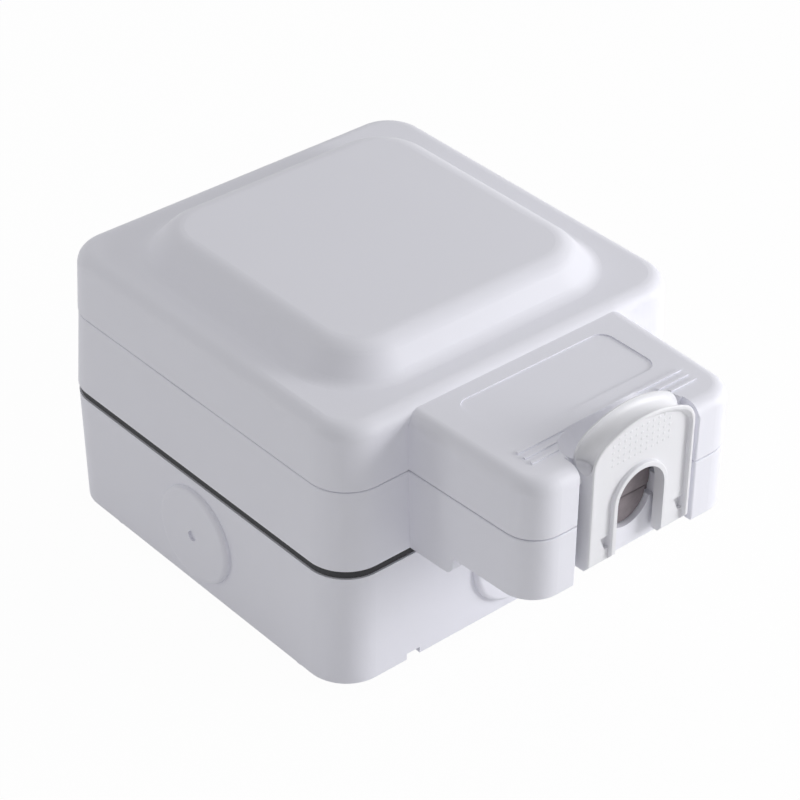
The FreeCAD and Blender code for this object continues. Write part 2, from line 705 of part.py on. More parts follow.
def dome(foot_half, z0, z1, slope_run, corner0, corner1):
    return drafted_square(foot_half, z0, foot_half - slope_run, z1, corner0, corner1)


def lid_outside():
    slab = rounded_at(drafted_square(LID_HALF, LID_BASE, LID_HALF - LID_DRAFT, LID_TOP), LID_BASE)
    slab = slab.makeFillet(LID_EDGE_R, edges_at(slab, LID_TOP, lambda c: True))
    top = LID_TOP + DOME_H
    pillow = dome(DOME_FOOT_HALF, LID_TOP, top, DOME_SLOPE_RUN, DOME_FOOT_CORNER_R, DOME_TOP_CORNER_R)
    pillow = pillow.makeFillet(DOME_EDGE_R, edges_at(pillow, top, lambda c: True))
    slab = joined(slab, [pillow])
    inside = DOME_FOOT_HALF + WALL
    foot = edges_at(slab, LID_TOP, lambda c: abs(c.x) < inside and abs(c.y) < inside)
    foot = [e for e in foot if e.BoundBox.DiagonalLength < 2 * DOME_FOOT_HALF]
    slab = slab.makeFillet(DOME_FOOT_R, foot)
    hood = rounded_at(ext_prism(0, LID_BASE, EXT_TOP), LID_BASE)
    overlap = -(LID_HALF - 2 * INNER_INSET)
    hood = hood.makeFillet(EXT_EDGE_R, edges_at(hood, EXT_TOP, lambda c: c.y < overlap - OVER))
    return slab.fuse(hood)


def lid_inside():
    """Cavity of the lid: under the rim, under the dome and in the extension, clear of the jaw block."""
    under_rim = square_prism(WALL, LID_BASE - OVER, LID_TOP - WALL)
    run = DOME_SLOPE_RUN / DOME_H
    slope = math.atan2(DOME_H, DOME_SLOPE_RUN)
    inner_foot = DOME_FOOT_HALF + WALL * run - WALL / math.sin(slope)
    inner_h = DOME_H
    under_dome = dome(inner_foot, LID_TOP - WALL - BITE, LID_TOP - WALL + inner_h, DOME_SLOPE_RUN,
                      DOME_FOOT_CORNER_R - WALL, DOME_TOP_CORNER_R - WALL)
    in_hood = ext_prism(WALL, LID_BASE - OVER, EXT_TOP - WALL).cut(jaw_block(0))
    low = LID_BASE - OVER
    high = POCKET_ROOF
    back = CHANNEL_Y + WALL
    seal_room = box(-SEAL_HALF, SEAL_HALF, back, BLOCK_BACK + OVER, low, high)
    cores = mirrored(box(SEAL_HALF + WALL, NOTCH_HALF - JAW_WALL / 2, back, BLOCK_BACK + OVER, low, high))
    return [under_rim, under_dome, in_hood, seal_room] + cores


def press_rib():
    """Rib that presses on the lid seal all round, open at the mouth."""
    low = PARTING
    high = LID_TOP - WALL + BITE
    rib = plan_prism(RIB_OUTER_INSET, low, high).cut(plan_prism(RIB_OUTER_INSET + RIB_T, low, high))
    ext_high = EXT_TOP - WALL + BITE
    above_hood = box(-LID_HALF, LID_HALF, EXT_FRONT - OVER, -LID_HALF, ext_high, high + OVER)
    return rib.cut([jaw_block(0), above_hood])


def swung(y, z):
    """Where a point of the closed latch, given as (y, z), lies when the latch is open."""
    angle = math.radians(SWING)
    out = y - PIVOT_Y
    up = z - LATCH_PIVOT_Z
    return PIVOT_Y + out * math.cos(angle) + up * math.sin(angle), LATCH_PIVOT_Z + up * math.cos(angle) - out * math.sin(angle)


def swing_relief():
    """Wedge behind the hood that the open latch leans into."""
    low = swung(LATCH_BACK + TOUCH, LATCH_PIVOT_Z + TOUCH)
    high = swung(LATCH_BACK + TOUCH, EXT_TOP + TOUCH)
    corners = [(LATCH_BACK, low[1], 0), (low[0], low[1], 0), (high[0], high[1], 0), (LATCH_BACK, high[1], 0)]
    half = LATCH_HALF + 2 * TOUCH
    return prism(corners, side(-half), V(2 * half, 0, 0))


def lid_mouth_tools():
    """Cuts for the latch: the gap between the jaws, the dish behind its hood, the bores and the mouth."""
    tools = [box(-NOTCH_HALF, NOTCH_HALF, EXT_FRONT - OVER, CHANNEL_Y, LID_BASE - OVER, LID_TOP + OVER)]
    tools += jaw_rounders(LID_BASE - OVER, LID_TOP + OVER) + [swing_relief()]
    start = V(-DISH_HALF, DISH_Y, DISH_Z)
    end = V(DISH_HALF, DISH_Y, DISH_Z)
    tools += [rod(DISH_R, start, end), Part.makeSphere(DISH_R, start, V(1, 0, 0)), Part.makeSphere(DISH_R, end, V(1, 0, 0))]
    tools.append(rod(MOUTH_R, V(0, CHANNEL_Y - OVER, MOUTH_Z), V(0, CHANNEL_Y + WALL + OVER, MOUTH_Z)))
    bore_r = TRUNNION_R + RUN
    tools += mirrored(rod(bore_r, V(NOTCH_HALF - OVER, PIVOT_Y, LATCH_PIVOT_Z),
                          V(NOTCH_HALF + BORE_DEPTH, PIVOT_Y, LATCH_PIVOT_Z)))
    return tools


def label_field():
    """Cut for the shallow field of the plain label."""
    corners = rect_corners(-LABEL_X, LABEL_X, LABEL_FRONT, LABEL_BACK, LABEL_R)
    return prism(corners, plan(EXT_TOP - LABEL_DEPTH), V(0, 0, LABEL_DEPTH + OVER))


def grip_ridges():
    rows = [RIDGE_FRONT + i * RIDGE_PITCH for i in range(RIDGE_COUNT)]
    return [box(-RIDGE_HALF, RIDGE_HALF, y - RIDGE_W / 2, y + RIDGE_W / 2, EXT_TOP - BITE, EXT_TOP + RIDGE_H)
            for y in rows]


def lid_hinge_web(x):
    wall = LID_HALF - WALL / 2
    corners = [(wall, LID_BASE, 0), (HINGE_Y, LID_BASE, 0), (HINGE_Y + KNUCKLE_R / 2, HINGE_Z + KNUCKLE_R * 0.86, 0),
               (wall, HINGE_Z + 2 * KNUCKLE_R + HINGE_OUT, 0)]
    return prism(corners, side(x - LID_KNUCKLE_L / 2), V(LID_KNUCKLE_L, 0, 0))


def lid():
    body = lid_outside().cut(lid_inside())
    barrels = [knuckle(sx * HINGE_X, LID_KNUCKLE_L, PIN_R + RUN) for sx in (-1, 1)]
    webs = [lid_hinge_web(sx * HINGE_X) for sx in (-1, 1)]
    body = joined(body, [press_rib()] + grip_ridges() + webs + [barrel for barrel, bore in barrels])
    return body.cut(lid_mouth_tools() + [label_field()] + [bore for barrel, bore in barrels])


# Latch


def arch_sizes(inset, lower=0):
    """Half width, shoulder radius, crown radius and peak height of the latch outline, shrunk by inset."""
    return LATCH_HALF - inset, LATCH_SHOULDER_R - inset, LATCH_CROWN_R - inset, LATCH_PEAK_Z - inset - lower


def arch_path(sizes, foot_z, place):
    """Open outline of the latch: up one side, over shoulder, crown and shoulder, and down the other side."""
    half, shoulder, crown, peak = sizes
    crown_z = peak - crown
    centre_x = half - shoulder
    spring_z = crown_z + math.sqrt((crown - shoulder) ** 2 - centre_x ** 2)
    scale = crown / (crown - shoulder)
    joint_x = centre_x * scale
    joint_z = crown_z + (spring_z - crown_z) * scale
    angle = math.atan2(joint_z - spring_z, joint_x - centre_x) / 2
    middle_x = centre_x + shoulder * math.cos(angle)
    middle_z = spring_z + shoulder * math.sin(angle)
    return [Part.LineSegment(place(-half, foot_z), place(-half, spring_z)).toShape(),
            Part.Arc(place(-half, spring_z), place(-middle_x, middle_z), place(-joint_x, joint_z)).toShape(),
            Part.Arc(place(-joint_x, joint_z), place(0, peak), place(joint_x, joint_z)).toShape(),
            Part.Arc(place(joint_x, joint_z), place(middle_x, middle_z), place(half, spring_z)).toShape(),
            Part.LineSegment(place(half, spring_z), place(half, foot_z)).toShape()]


def arch_wire(sizes, foot_z, y):
    """The outline closed along the foot, in the plane at y."""
    half = sizes[0]
    return Part.Wire(arch_path(sizes, foot_z, front(y)) + [Part.LineSegment(V(half, y, foot_z), V(-half, y, foot_z)).toShape()])


def arch_prism(sizes, foot_z, y0, y1):
    return Part.Face(arch_wire(sizes, foot_z, y0)).extrude(V(0, y1 - y0, 0))


def edges_in_front(shape, y):
    """Edges that lie in the plane at y."""
    return [e for e in shape.Edges if abs(e.BoundBox.YMin - y) < 1e-3 and abs(e.BoundBox.YMax - y) < 1e-3]


def cable_slot(radius, y0, y1, foot_z):
    """Round-topped slot for the cable, open at the latch's foot."""
    stem = box(-radius, radius, y0, y1, foot_z, SLOT_CENTRE_Z)
    return stem.fuse(rod(radius, V(0, y0, SLOT_CENTRE_Z), V(0, y1, SLOT_CENTRE_Z)))


def hood_groove():
    """Round groove that runs over the hood between its front rim and its back crest, with round ends."""
    side_out = HOOD_GROOVE_R - HOOD_GROOVE_SIDE_DEPTH
    top_out = HOOD_GROOVE_R - HOOD_GROOVE_TOP_DEPTH
    half, shoulder, crown, peak = arch_sizes(0)
    sizes = (half + side_out, shoulder + side_out, crown + top_out, peak + top_out)
    y = LATCH_FRONT + HOOD_GROOVE_SET
    foot = V(half + side_out, y, HOOD_GROOVE_FOOT_Z)
    circle = Part.Wire([Part.Circle(V(-foot.x, y, foot.z), V(0, 0, 1), HOOD_GROOVE_R).toShape()])
    run = Part.Wire(arch_path(sizes, HOOD_GROOVE_FOOT_Z, front(y))).makePipeShell([circle], True, False)
    return [run] + mirrored(Part.makeSphere(HOOD_GROOVE_R, foot, V(1, 0, 0)))


def snap_barb():
    """Wedge on the back of one leg that hooks into the pier."""
    low = BARB_Z - BARB_H / 2
    high = BARB_Z + BARB_H / 2
    corners = [(PLATE_BACK - BITE, low, 0), (PLATE_BACK, low, 0), (PLATE_BACK + BARB_REACH, high - BITE, 0),
               (PLATE_BACK + BARB_REACH, high, 0), (PLATE_BACK - BITE, high, 0)]
    inner = CABLE_R + COLLAR_W + BARB_ROOM
    return prism(corners, side(inner), V(PIER_HALF - inner, 0, 0))


def core_vee(edge_x):
    """Small slanted pocket in the front of one leg; its upright side lies at edge_x."""
    foot_z = VEE_TOP_Z - VEE_H
    corners = [(edge_x - VEE_W, VEE_TOP_Z, 0), (edge_x, VEE_TOP_Z, 0), (edge_x, foot_z, 0), (edge_x - VEE_FOOT_W, foot_z, 0)]
    return prism(corners, front(PANEL_Y - BITE), V(0, BITE + VEE_DEPTH, 0))


def latch_recess():
    """Cut for the panel inside the rim, bevelled at the rim's edge and sloping under the arch."""
    foot_z = LATCH_FOOT_Z - OVER
    outlines = [arch_wire(arch_sizes(RIM_W - 2 * RIM_EDGE), foot_z, LATCH_FRONT - RIM_EDGE),
                arch_wire(arch_sizes(RIM_W), foot_z, LATCH_FRONT + RIM_EDGE),
                arch_wire(arch_sizes(RIM_W, ARCH_DROP), foot_z, PANEL_Y)]
    return Part.makeLoft(outlines, True, True)


def foot_bevel():
    """Cut that slopes the rim and the collar down to the panel's foot."""
    slope = FOOT_RISE / RIM_DEPTH
    corners = [(PANEL_Y, LATCH_FOOT_Z, 0), (PANEL_Y, LATCH_FOOT_Z - OVER, 0), (LATCH_FRONT - OVER, LATCH_FOOT_Z - OVER, 0),
               (LATCH_FRONT - OVER, LATCH_FOOT_Z + slope * (RIM_DEPTH + OVER), 0)]
    return prism(corners, side(-LATCH_HALF - OVER), V(2 * (LATCH_HALF + OVER), 0, 0))


def latch():
    half, shoulder, crown, peak = arch_sizes(0)
    middle = LATCH_FRONT + HOOD_GROOVE_SET
    body = arch_prism(arch_sizes(0), LATCH_FOOT_Z, LATCH_FRONT, middle)
    body = body.makeFillet(LATCH_EDGE_R, edges_in_front(body, LATCH_FRONT))
    body = joined(body, [arch_prism((half, shoulder, crown, peak + CREST_RISE), LATCH_FOOT_Z, middle, LATCH_BACK)])
    hollow = box(-FLANGE_INNER, FLANGE_INNER, PLATE_BACK, LATCH_BACK + OVER, LATCH_FOOT_Z - OVER, HOOD_Z)
    body = body.cut([latch_recess(), hollow] + hood_groove())
    collar_front = PANEL_Y - COLLAR_PROUD
    collar = cable_slot(CABLE_R + COLLAR_W, collar_front, PANEL_Y + BITE, LATCH_FOOT_Z)
    collar = collar.removeSplitter()
    collar = collar.makeFillet(COLLAR_EDGE_R, edges_in_front(collar, collar_front))
    trunnion_end = NOTCH_HALF + BORE_DEPTH - TOUCH
    trunnion = rod(TRUNNION_R, V(FLANGE_INNER, PIVOT_Y, LATCH_PIVOT_Z), V(trunnion_end, PIVOT_Y, LATCH_PIVOT_Z))
    body = joined(body, [collar] + mirrored(snap_barb()) + mirrored(trunnion))
    slot = cable_slot(CABLE_R, LATCH_FRONT - OVER, PLATE_BACK + OVER, LATCH_FOOT_Z - OVER)
    vees = [core_vee(-CABLE_R - COLLAR_W), core_vee(LATCH_HALF - RIM_W)]
    return body.cut([slot, foot_bevel()] + vees)


# Socket module


def pin_slot(x, y, pin, room, z0, z1):
    half_x = pin[0] / 2 + room
    half_y = pin[1] / 2 + room
    return box(x - half_x, x + half_x, y - half_y, y + half_y, z0, z1)


def all_pin_slots(room, z0, z1):
    return [pin_slot(0, EARTH_Y, EARTH_PIN, room, z0, z1),
            pin_slot(PIN_SPREAD, LINE_Y, LINE_PIN, room, z0, z1),
            pin_slot(-PIN_SPREAD, LINE_Y, LINE_PIN, room, z0, z1)]


def module_pilots():
    return [rod(MODULE_SCREW_R, V(sx * MODULE_SCREW_X, y, DECK_BASE - OVER), V(sx * MODULE_SCREW_X, y, DECK_BASE + DECK_T - BITE))
            for sx in (-1, 1) for y in MODULE_SCREW_Y]


def module_block(x_out, y_out, radius, z0, z1):
    corners = rect_corners(-FACE_HALF_X - x_out, FACE_HALF_X + x_out, FACE_BACK - y_out, FACE_TOP + y_out, radius)
    return prism(corners, plan(z0), V(0, 0, z1 - z0))


def rocker_opening():
    half_x = ROCKER_HALF_X + TOUCH
    half_y = ROCKER_HALF_Y + TOUCH
    return box(-half_x, half_x, ROCKER_Y - half_y, ROCKER_Y + half_y, FACE_UNDER - OVER, FACE_Z + OVER)


def rocker_cheek():
    """Bearing cheek beside the rocker, hanging from the face."""
    inner = ROCKER_HALF_X + TOUCH
    cheek = box(inner, inner + CHEEK_T, ROCKER_Y - CHEEK_DROP, ROCKER_Y + CHEEK_DROP, ROCKER_AXIS_Z - CHEEK_DROP, FACE_UNDER + BITE)
    bore = rod(ROCKER_PIN_R + RUN, V(inner - OVER, ROCKER_Y, ROCKER_AXIS_Z), V(inner + ROCKER_PIN_L, ROCKER_Y, ROCKER_AXIS_Z))
    return cheek, bore


def socket_front():
    body = module_block(0, 0, FACE_R, FLANGE_BASE, FACE_Z)
    rim = edges_at(body, FACE_Z, lambda c: True)
    body = body.makeFillet(OVER, rim)
    body = joined(body, [module_block(FLANGE_OUT, 0, FACE_R, FLANGE_BASE, DECK_BASE)])
    body = body.cut(module_block(-SKIRT_T, -SKIRT_T, FACE_R - SKIRT_T, FLANGE_BASE - OVER, FACE_UNDER))
    cheek, bore = rocker_cheek()
    body = joined(body, mirrored(cheek))
    guides = mirrored(shutter_guide())
    body = joined(body, guides)
    holes = [rod(MODULE_SCREW_R + RUN, V(sx * MODULE_SCREW_X, y, FLANGE_BASE - OVER), V(sx * MODULE_SCREW_X, y, DECK_BASE + OVER))
             for sx in (-1, 1) for y in MODULE_SCREW_Y]
    slots = all_pin_slots(SLOT_ROOM, FACE_UNDER - OVER, FACE_Z + OVER)
    return body.cut(slots + [rocker_opening()] + mirrored(bore) + holes)


def shutter_guide():
    """Rail that the shutter's stem slides along, above the flaps."""
    inner = SHUTTER_STEM_HALF + TOUCH
    start = LINE_Y + SHUTTER_FLAP_HALF_Y + TOUCH
    end = EARTH_Y - EARTH_PIN[1] / 2 - SLOT_ROOM - TOUCH
    return box(inner, inner + SHUTTER_T, start, end, SHUTTER_BASE, FACE_UNDER + BITE)


def module_screws():
    return group([slotted_screw(sx * MODULE_SCREW_X, y, FLANGE_BASE, MODULE_SCREW_L, MODULE_SCREW_R,
                                MODULE_SCREW_HEAD_R, MODULE_SCREW_HEAD_H, -1)
                  for sx in (-1, 1) for y in MODULE_SCREW_Y])


def cage_places():
    """Centres of the three contact cages and of the two supply terminals, as (x, y)."""
    return {"earth": (0, EARTH_CAGE_Y), "live": (PIN_SPREAD, CAGE_Y), "neutral": (-PIN_SPREAD, CAGE_Y),
            "line": (FACE_HALF_X - 2 * CAGE_T - CAGE, ROCKER_Y), "return": (-FACE_HALF_X + 2 * CAGE_T + CAGE, ROCKER_Y)}


def socket_rear():
    body = module_block(-TOUCH, -TOUCH, FACE_R - TOUCH, REAR_BASE, FLANGE_BASE)
    body = body.cut(module_block(-SKIRT_T - TOUCH, -SKIRT_T - TOUCH, FACE_R - SKIRT_T - TOUCH, REAR_BASE + REAR_FLOOR_T,
                                 FLANGE_BASE + OVER))
    floor = REAR_BASE + REAR_FLOOR_T
    seats = all_pin_slots(SEAT_RIM + BRASS_T, floor - BITE, contact_base())
    spring_end = FACE_BACK + SKIRT_T + TOUCH
    stop = box(-SHUTTER_STEM_HALF, SHUTTER_STEM_HALF, spring_end, spring_end + SKIRT_T, floor - BITE, SHUTTER_TOP)
    beam_low = spring_z() - SPRING_COIL_R - SPRING_WIRE_R - TOUCH - WALL
    beam_end = EARTH_Y - EARTH_PIN[1] / 2 - WALL - BRASS_T
    beam = box(-WALL / 2, WALL / 2, spring_end, beam_end, floor - BITE, beam_low)
    shelf = box(-SHUTTER_STEM_HALF, SHUTTER_STEM_HALF, LINE_Y + SHUTTER_FLAP_HALF_Y, beam_end, beam_low - BITE, SHUTTER_BASE - TOUCH)
    body = joined(body, seats + [stop, beam, shelf])
    tools = []
    for x, y in cage_places().values():
        half = CAGE / 2 + BASE_GAP
        tools.append(box(x - half, x + half, y - CAGE_L / 2 - BASE_GAP, y + CAGE_L / 2 + BASE_GAP, REAR_BASE - OVER, floor + OVER))
    return body.cut(tools)


def contact_base():
    return CLIP_TOP - CLIP_H


def pin_clip(x, y, pin, across):
    """Two sprung leaves with flared mouths beside a pin, standing on a base strip."""
    half_w = pin[1 - across] / 2
    grip = pin[across] / 2
    base_z = contact_base()
    leaf = [(grip, base_z, 0), (grip + BRASS_T, base_z, 0), (grip + BRASS_T, CLIP_TOP - CLIP_FLARE, 0),
            (grip + BRASS_T + CLIP_FLARE, CLIP_TOP, 0), (grip + CLIP_FLARE, CLIP_TOP, 0), (grip, CLIP_TOP - CLIP_FLARE, 0)]
    if across == 0:
        place = lambda u, v: V(x + u, y - half_w, v)
        push = V(0, 2 * half_w, 0)
        flip = V(1, 0, 0)
    else:
        place = lambda u, v: V(x - half_w, y + u, v)
        push = V(2 * half_w, 0, 0)
        flip = V(0, 1, 0)
    one = prism(leaf, place, push)
    other = one.mirror(V(x, y, 0), flip)
    reach_x = (grip if across == 0 else half_w) + (BRASS_T if across == 0 else 0)
    reach_y = (grip if across == 1 else half_w) + (BRASS_T if across == 1 else 0)
    base = box(x - reach_x, x + reach_x, y - reach_y, y + reach_y, base_z, base_z + BRASS_T)
    return joined(one, [other, base])


def cage(x, y):
    """Square terminal cage, open along Y, with the clamping screw's hole underneath."""
    low = REAR_BASE
    half = CAGE / 2
    outer = box(x - half, x + half, y - CAGE_L / 2, y + CAGE_L / 2, low, low + CAGE)
    inner = box(x - half + CAGE_T, x + half - CAGE_T, y - CAGE_L, y + CAGE_L, low + CAGE_T, low + CAGE - CAGE_T)
    return outer.cut([inner, rod(CLAMP_R, V(x, y, low - OVER), V(x, y, low + CAGE / 2))])


def strip(x0, x1, y0, y1):
    return box(x0, x1, y0, y1, contact_base(), contact_base() + BRASS_T)


def riser(x0, x1, y0, y1):
    return box(x0, x1, y0, y1, REAR_BASE + CAGE - CAGE_T, contact_base() + BRASS_T)


def pin_contact(name, x, y, pin, across, toward):
    """Clip, strip and cage of one contact; the strip runs along Y from the clip to its cage."""
    cage_x, cage_y = cage_places()[name]
    clip = pin_clip(x, y, pin, across)
    half = LINE_PIN[0] / 2 if across else EARTH_PIN[0] / 2
    edge = cage_y - toward * CAGE_L / 2
    start = y + toward * (pin[1] / 2)
    end = edge + toward * BRASS_T
    run = strip(x - half, x + half, min(start, end), max(start, end))
    drop = riser(x - half, x + half, min(edge, end), max(edge, end))
    return joined(clip, [run, drop, cage(cage_x, cage_y)])


def earth_contact():
    return pin_contact("earth", 0, EARTH_Y, EARTH_PIN, 0, 1)


def live_contact():
    return pin_contact("live", PIN_SPREAD, LINE_Y, LINE_PIN, 1, -1)


def neutral_contact():
    return pin_contact("neutral", -PIN_SPREAD, LINE_Y, LINE_PIN, 1, -1)


def supply_terminal(name):
    """Cage with a raised tongue that carries the fixed silvered end of the switch."""
    x, y = cage_places()[name]
    inward = -math.copysign(1, x)
    tongue_end = inward * -BLADE_X
    low = min(x + inward * CAGE / 2, tongue_end - BLADE_W / 2 * -inward)
    high = max(x + inward * CAGE / 2, tongue_end - BLADE_W / 2 * -inward)
    rise = riser(x - CAGE / 2, x - CAGE / 2 + BRASS_T, y - BLADE_W / 2, y + BLADE_W / 2) if x > 0 else \
        riser(x + CAGE / 2 - BRASS_T, x + CAGE / 2, y - BLADE_W / 2, y + BLADE_W / 2)
    tongue = strip(low, high, y - BLADE_W / 2, y + BLADE_W / 2)
    return joined(cage(x, y), [rise, tongue])


def line_terminal():
    return supply_terminal("line")


def return_terminal():
    return supply_terminal("return")


def terminal_screws():
    screws = []
    for x, y in cage_places().values():
        screws.append(slotted_screw(x, y, REAR_BASE, CAGE / 2 - CAGE_T, CLAMP_R, CLAMP_HEAD_R, CLAMP_HEAD_H, -1))
    return group(screws)


def switch_blade(side_x):
    """Curved leaf above a supply tongue, under the rocker's nose."""
    y = ROCKER_Y
    base = contact_base() + BRASS_T
    rise = ROCKER_AXIS_Z - NOSE_L - NOSE_R - TOUCH - base
    corners = [(y - BLADE_W / 2, base, 0), (y + BLADE_W / 2, base, 0), (y + BLADE_W / 2, base + BLADE_T, 0),
               (y - BLADE_W / 2 + BLADE_T, base + BLADE_T, 0), (y - BLADE_W / 2 + BLADE_T, base + rise - BLADE_T, 0),
               (y + BLADE_W, base + rise - BLADE_T, 0), (y + BLADE_W, base + rise, 0), (y - BLADE_W / 2, base + rise, 0)]
    return prism(corners, side(side_x - BLADE_W / 2), V(BLADE_W, 0, 0))


def switch_blades():
    return group([switch_blade(sx * BLADE_X) for sx in (-1, 1)])


def spring_z():
    return SHUTTER_TOP - SHUTTER_TAB_H / 2


def shutter():
    """Plate with flaps behind the live and neutral slots, a ramp under the earth slot and a spring tab."""
    ramp_end = EARTH_Y + SHUTTER_RAMP_REACH
    back = LINE_Y - SHUTTER_FLAP_HALF_Y
    flap = PIN_SPREAD + SHUTTER_FLAP_OUT
    stem = box(-SHUTTER_STEM_HALF, SHUTTER_STEM_HALF, back, ramp_end, SHUTTER_BASE, SHUTTER_TOP)
    flaps = box(-flap, flap, back, LINE_Y + SHUTTER_FLAP_HALF_Y, SHUTTER_BASE, SHUTTER_TOP)
    tab = box(-SHUTTER_STEM_HALF, SHUTTER_STEM_HALF, back - SHUTTER_TAB_T, back + BITE, SHUTTER_TOP - SHUTTER_TAB_H, SHUTTER_TOP)
    corners = [(ramp_end - 2 * SHUTTER_T, SHUTTER_TOP, 0), (ramp_end + OVER, SHUTTER_TOP + OVER, 0),
               (ramp_end + OVER, SHUTTER_BASE, 0), (ramp_end, SHUTTER_BASE, 0)]
    ramp = prism(corners, side(-2 * SHUTTER_STEM_HALF), V(4 * SHUTTER_STEM_HALF, 0, 0))
    return joined(stem, [flaps, tab]).cut(ramp)


def shutter_spring():
    start = FACE_BACK + SKIRT_T + TOUCH + SKIRT_T + SPRING_WIRE_R
    end = LINE_Y - SHUTTER_FLAP_HALF_Y - SHUTTER_TAB_T - SPRING_WIRE_R
    length = end - start
    helix = Part.makeHelix(length / SPRING_TURNS, length, SPRING_COIL_R)
    circle = Part.Wire([Part.Circle(V(SPRING_COIL_R, 0, 0), V(0, 1, 0), SPRING_WIRE_R).toShape()])
    coil = Part.Wire(helix.Edges).makePipeShell([circle], True, True)
    coil.rotate(V(0, 0, 0), V(1, 0, 0), -90)
    coil.translate(V(0, start, spring_z()))
    return coil


def rocker():
    """Two-facet rocker on side pins, with a nose for the blades, tipped to its off position."""
    top = ROCKER_AXIS_Z + ROCKER_H
    low = ROCKER_AXIS_Z - ROCKER_PIN_R
    drop = ROCKER_HALF_Y * math.tan(math.radians(ROCKER_TILT))
    corners = [(ROCKER_Y - ROCKER_HALF_Y + TOUCH, low, 0), (ROCKER_Y + ROCKER_HALF_Y - TOUCH, low, 0),
               (ROCKER_Y + ROCKER_HALF_Y - TOUCH, top, 0), (ROCKER_Y, top - drop, 0),
               (ROCKER_Y - ROCKER_HALF_Y + TOUCH, top, 0)]
    cap = prism(corners, side(-ROCKER_HALF_X), V(2 * ROCKER_HALF_X, 0, 0))
    end = ROCKER_HALF_X + ROCKER_PIN_L
    pins = rod(ROCKER_PIN_R, V(-end, ROCKER_Y, ROCKER_AXIS_Z), V(end, ROCKER_Y, ROCKER_AXIS_Z))
    noses = []
    for sx in (-1, 1):
        tip = V(sx * BLADE_X, ROCKER_Y, ROCKER_AXIS_Z - NOSE_L - NOSE_R)
        nose = rod(NOSE_R, tip, V(sx * BLADE_X, ROCKER_Y, ROCKER_AXIS_Z))
        noses.append(nose.makeFillet(0.8 * NOSE_R, edges_at(nose, tip.z, lambda c: True)))
    return joined(cap, [pins] + noses).rotate(V(0, ROCKER_Y, ROCKER_AXIS_Z), V(1, 0, 0), -ROCKER_TILT)


PIECES = [back_box, box_gasket, post_inserts, front_frame, frame_screws, screw_washers, lid_seal, lower_cable_seal,
          upper_cable_seal, lid, hinge_pins, latch, socket_front, socket_rear, module_screws, earth_contact,
          live_contact, neutral_contact, line_terminal, return_terminal, terminal_screws, switch_blades, shutter,
          shutter_spring, rocker, earth_block, earth_block_screw]


def main():
    os.makedirs("parts", exist_ok=True)
    for make in PIECES:
        shape = make()
        shape.exportStep("parts/" + make.__name__ + ".step")
        print(make.__name__, len(shape.Solids), round(shape.Volume, 1), shape.isValid())


main()
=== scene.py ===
"""Looks of a one-gang outdoor weatherproof socket, laid out as a Blender add-on and run as a script.

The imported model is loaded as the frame: the moulded and metal pieces keep its shapes and get their finishes
here. The soft seals, the cable foam, the coil spring and the thumb pips are worked out as numpy surfaces.
"""

import math

import bmesh
import bpy
import numpy as np
from mathutils import Matrix, Vector


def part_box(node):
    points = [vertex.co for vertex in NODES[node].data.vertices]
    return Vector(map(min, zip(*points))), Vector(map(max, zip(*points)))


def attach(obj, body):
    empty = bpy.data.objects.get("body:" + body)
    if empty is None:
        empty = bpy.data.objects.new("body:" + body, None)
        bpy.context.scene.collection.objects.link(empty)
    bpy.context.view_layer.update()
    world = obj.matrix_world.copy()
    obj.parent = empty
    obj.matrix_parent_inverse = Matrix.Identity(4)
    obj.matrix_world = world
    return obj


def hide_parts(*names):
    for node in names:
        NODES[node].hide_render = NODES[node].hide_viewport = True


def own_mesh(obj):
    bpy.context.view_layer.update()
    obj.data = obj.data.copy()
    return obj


bl_info = {
    "name": "Weatherproof socket finishes",
    "version": (1, 0, 0),
    "blender": (4, 5, 0),
    "location": "View3D > Sidebar > Socket",
    "description": "Finishes, seals and studio for an outdoor weatherproof socket",
    "category": "Object",
}

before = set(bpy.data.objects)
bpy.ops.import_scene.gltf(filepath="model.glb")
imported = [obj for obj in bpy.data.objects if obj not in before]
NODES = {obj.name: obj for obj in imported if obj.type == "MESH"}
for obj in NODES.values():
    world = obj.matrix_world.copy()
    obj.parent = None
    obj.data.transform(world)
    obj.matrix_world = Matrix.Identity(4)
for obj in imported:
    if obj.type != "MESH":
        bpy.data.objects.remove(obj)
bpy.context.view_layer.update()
MM = 0.001

# Camera of the photograph: direction it looks from, in degrees, and where it stands
VIEW_AZIMUTH = -41.13
VIEW_ELEVATION = 35.044
VIEW_ROLL = 0.737
VIEW_DISTANCE = 0.773073
VIEW_AIM = (0.0, 0.0, 0.038)
VIEW_SLIDE = (0.008743, -0.000144)
VIEW_LENS = 125.18
VIEW_SENSOR = 36.0
VIEW_CLIP = (0.01, 20)

# Box gasket, in millimetres: a square mid-line with rounded corners
GASKET_HALF = 58.0
GASKET_CORNER = 9.3
GASKET_Z = 39.85
GASKET_EDGE = 0.45

# Mid-line of the lid seal: the square, the neck beside the cable trough, and the ends beside the mouth
SEAL_HALF = 55.4
SEAL_CORNER = 7.55
SEAL_NECK = (33.05, -60.0)
SEAL_NECK_CORNER = 2.2
SEAL_NECK_BEND = 3.0
SEAL_FRONT = (31.35, -99.35)
SEAL_FRONT_CORNER = 5.05
SEAL_END_X = 23.3
SEAL_FOOT_Z = 62.0

# Washers under the heads of the frame's screws
WASHER_PLACE = 46.5
WASHER_RADIUS = 3.15
WASHER_SECTION = (2.1, 0.8)
WASHER_EDGE = 0.25
WASHER_Z = 48.4

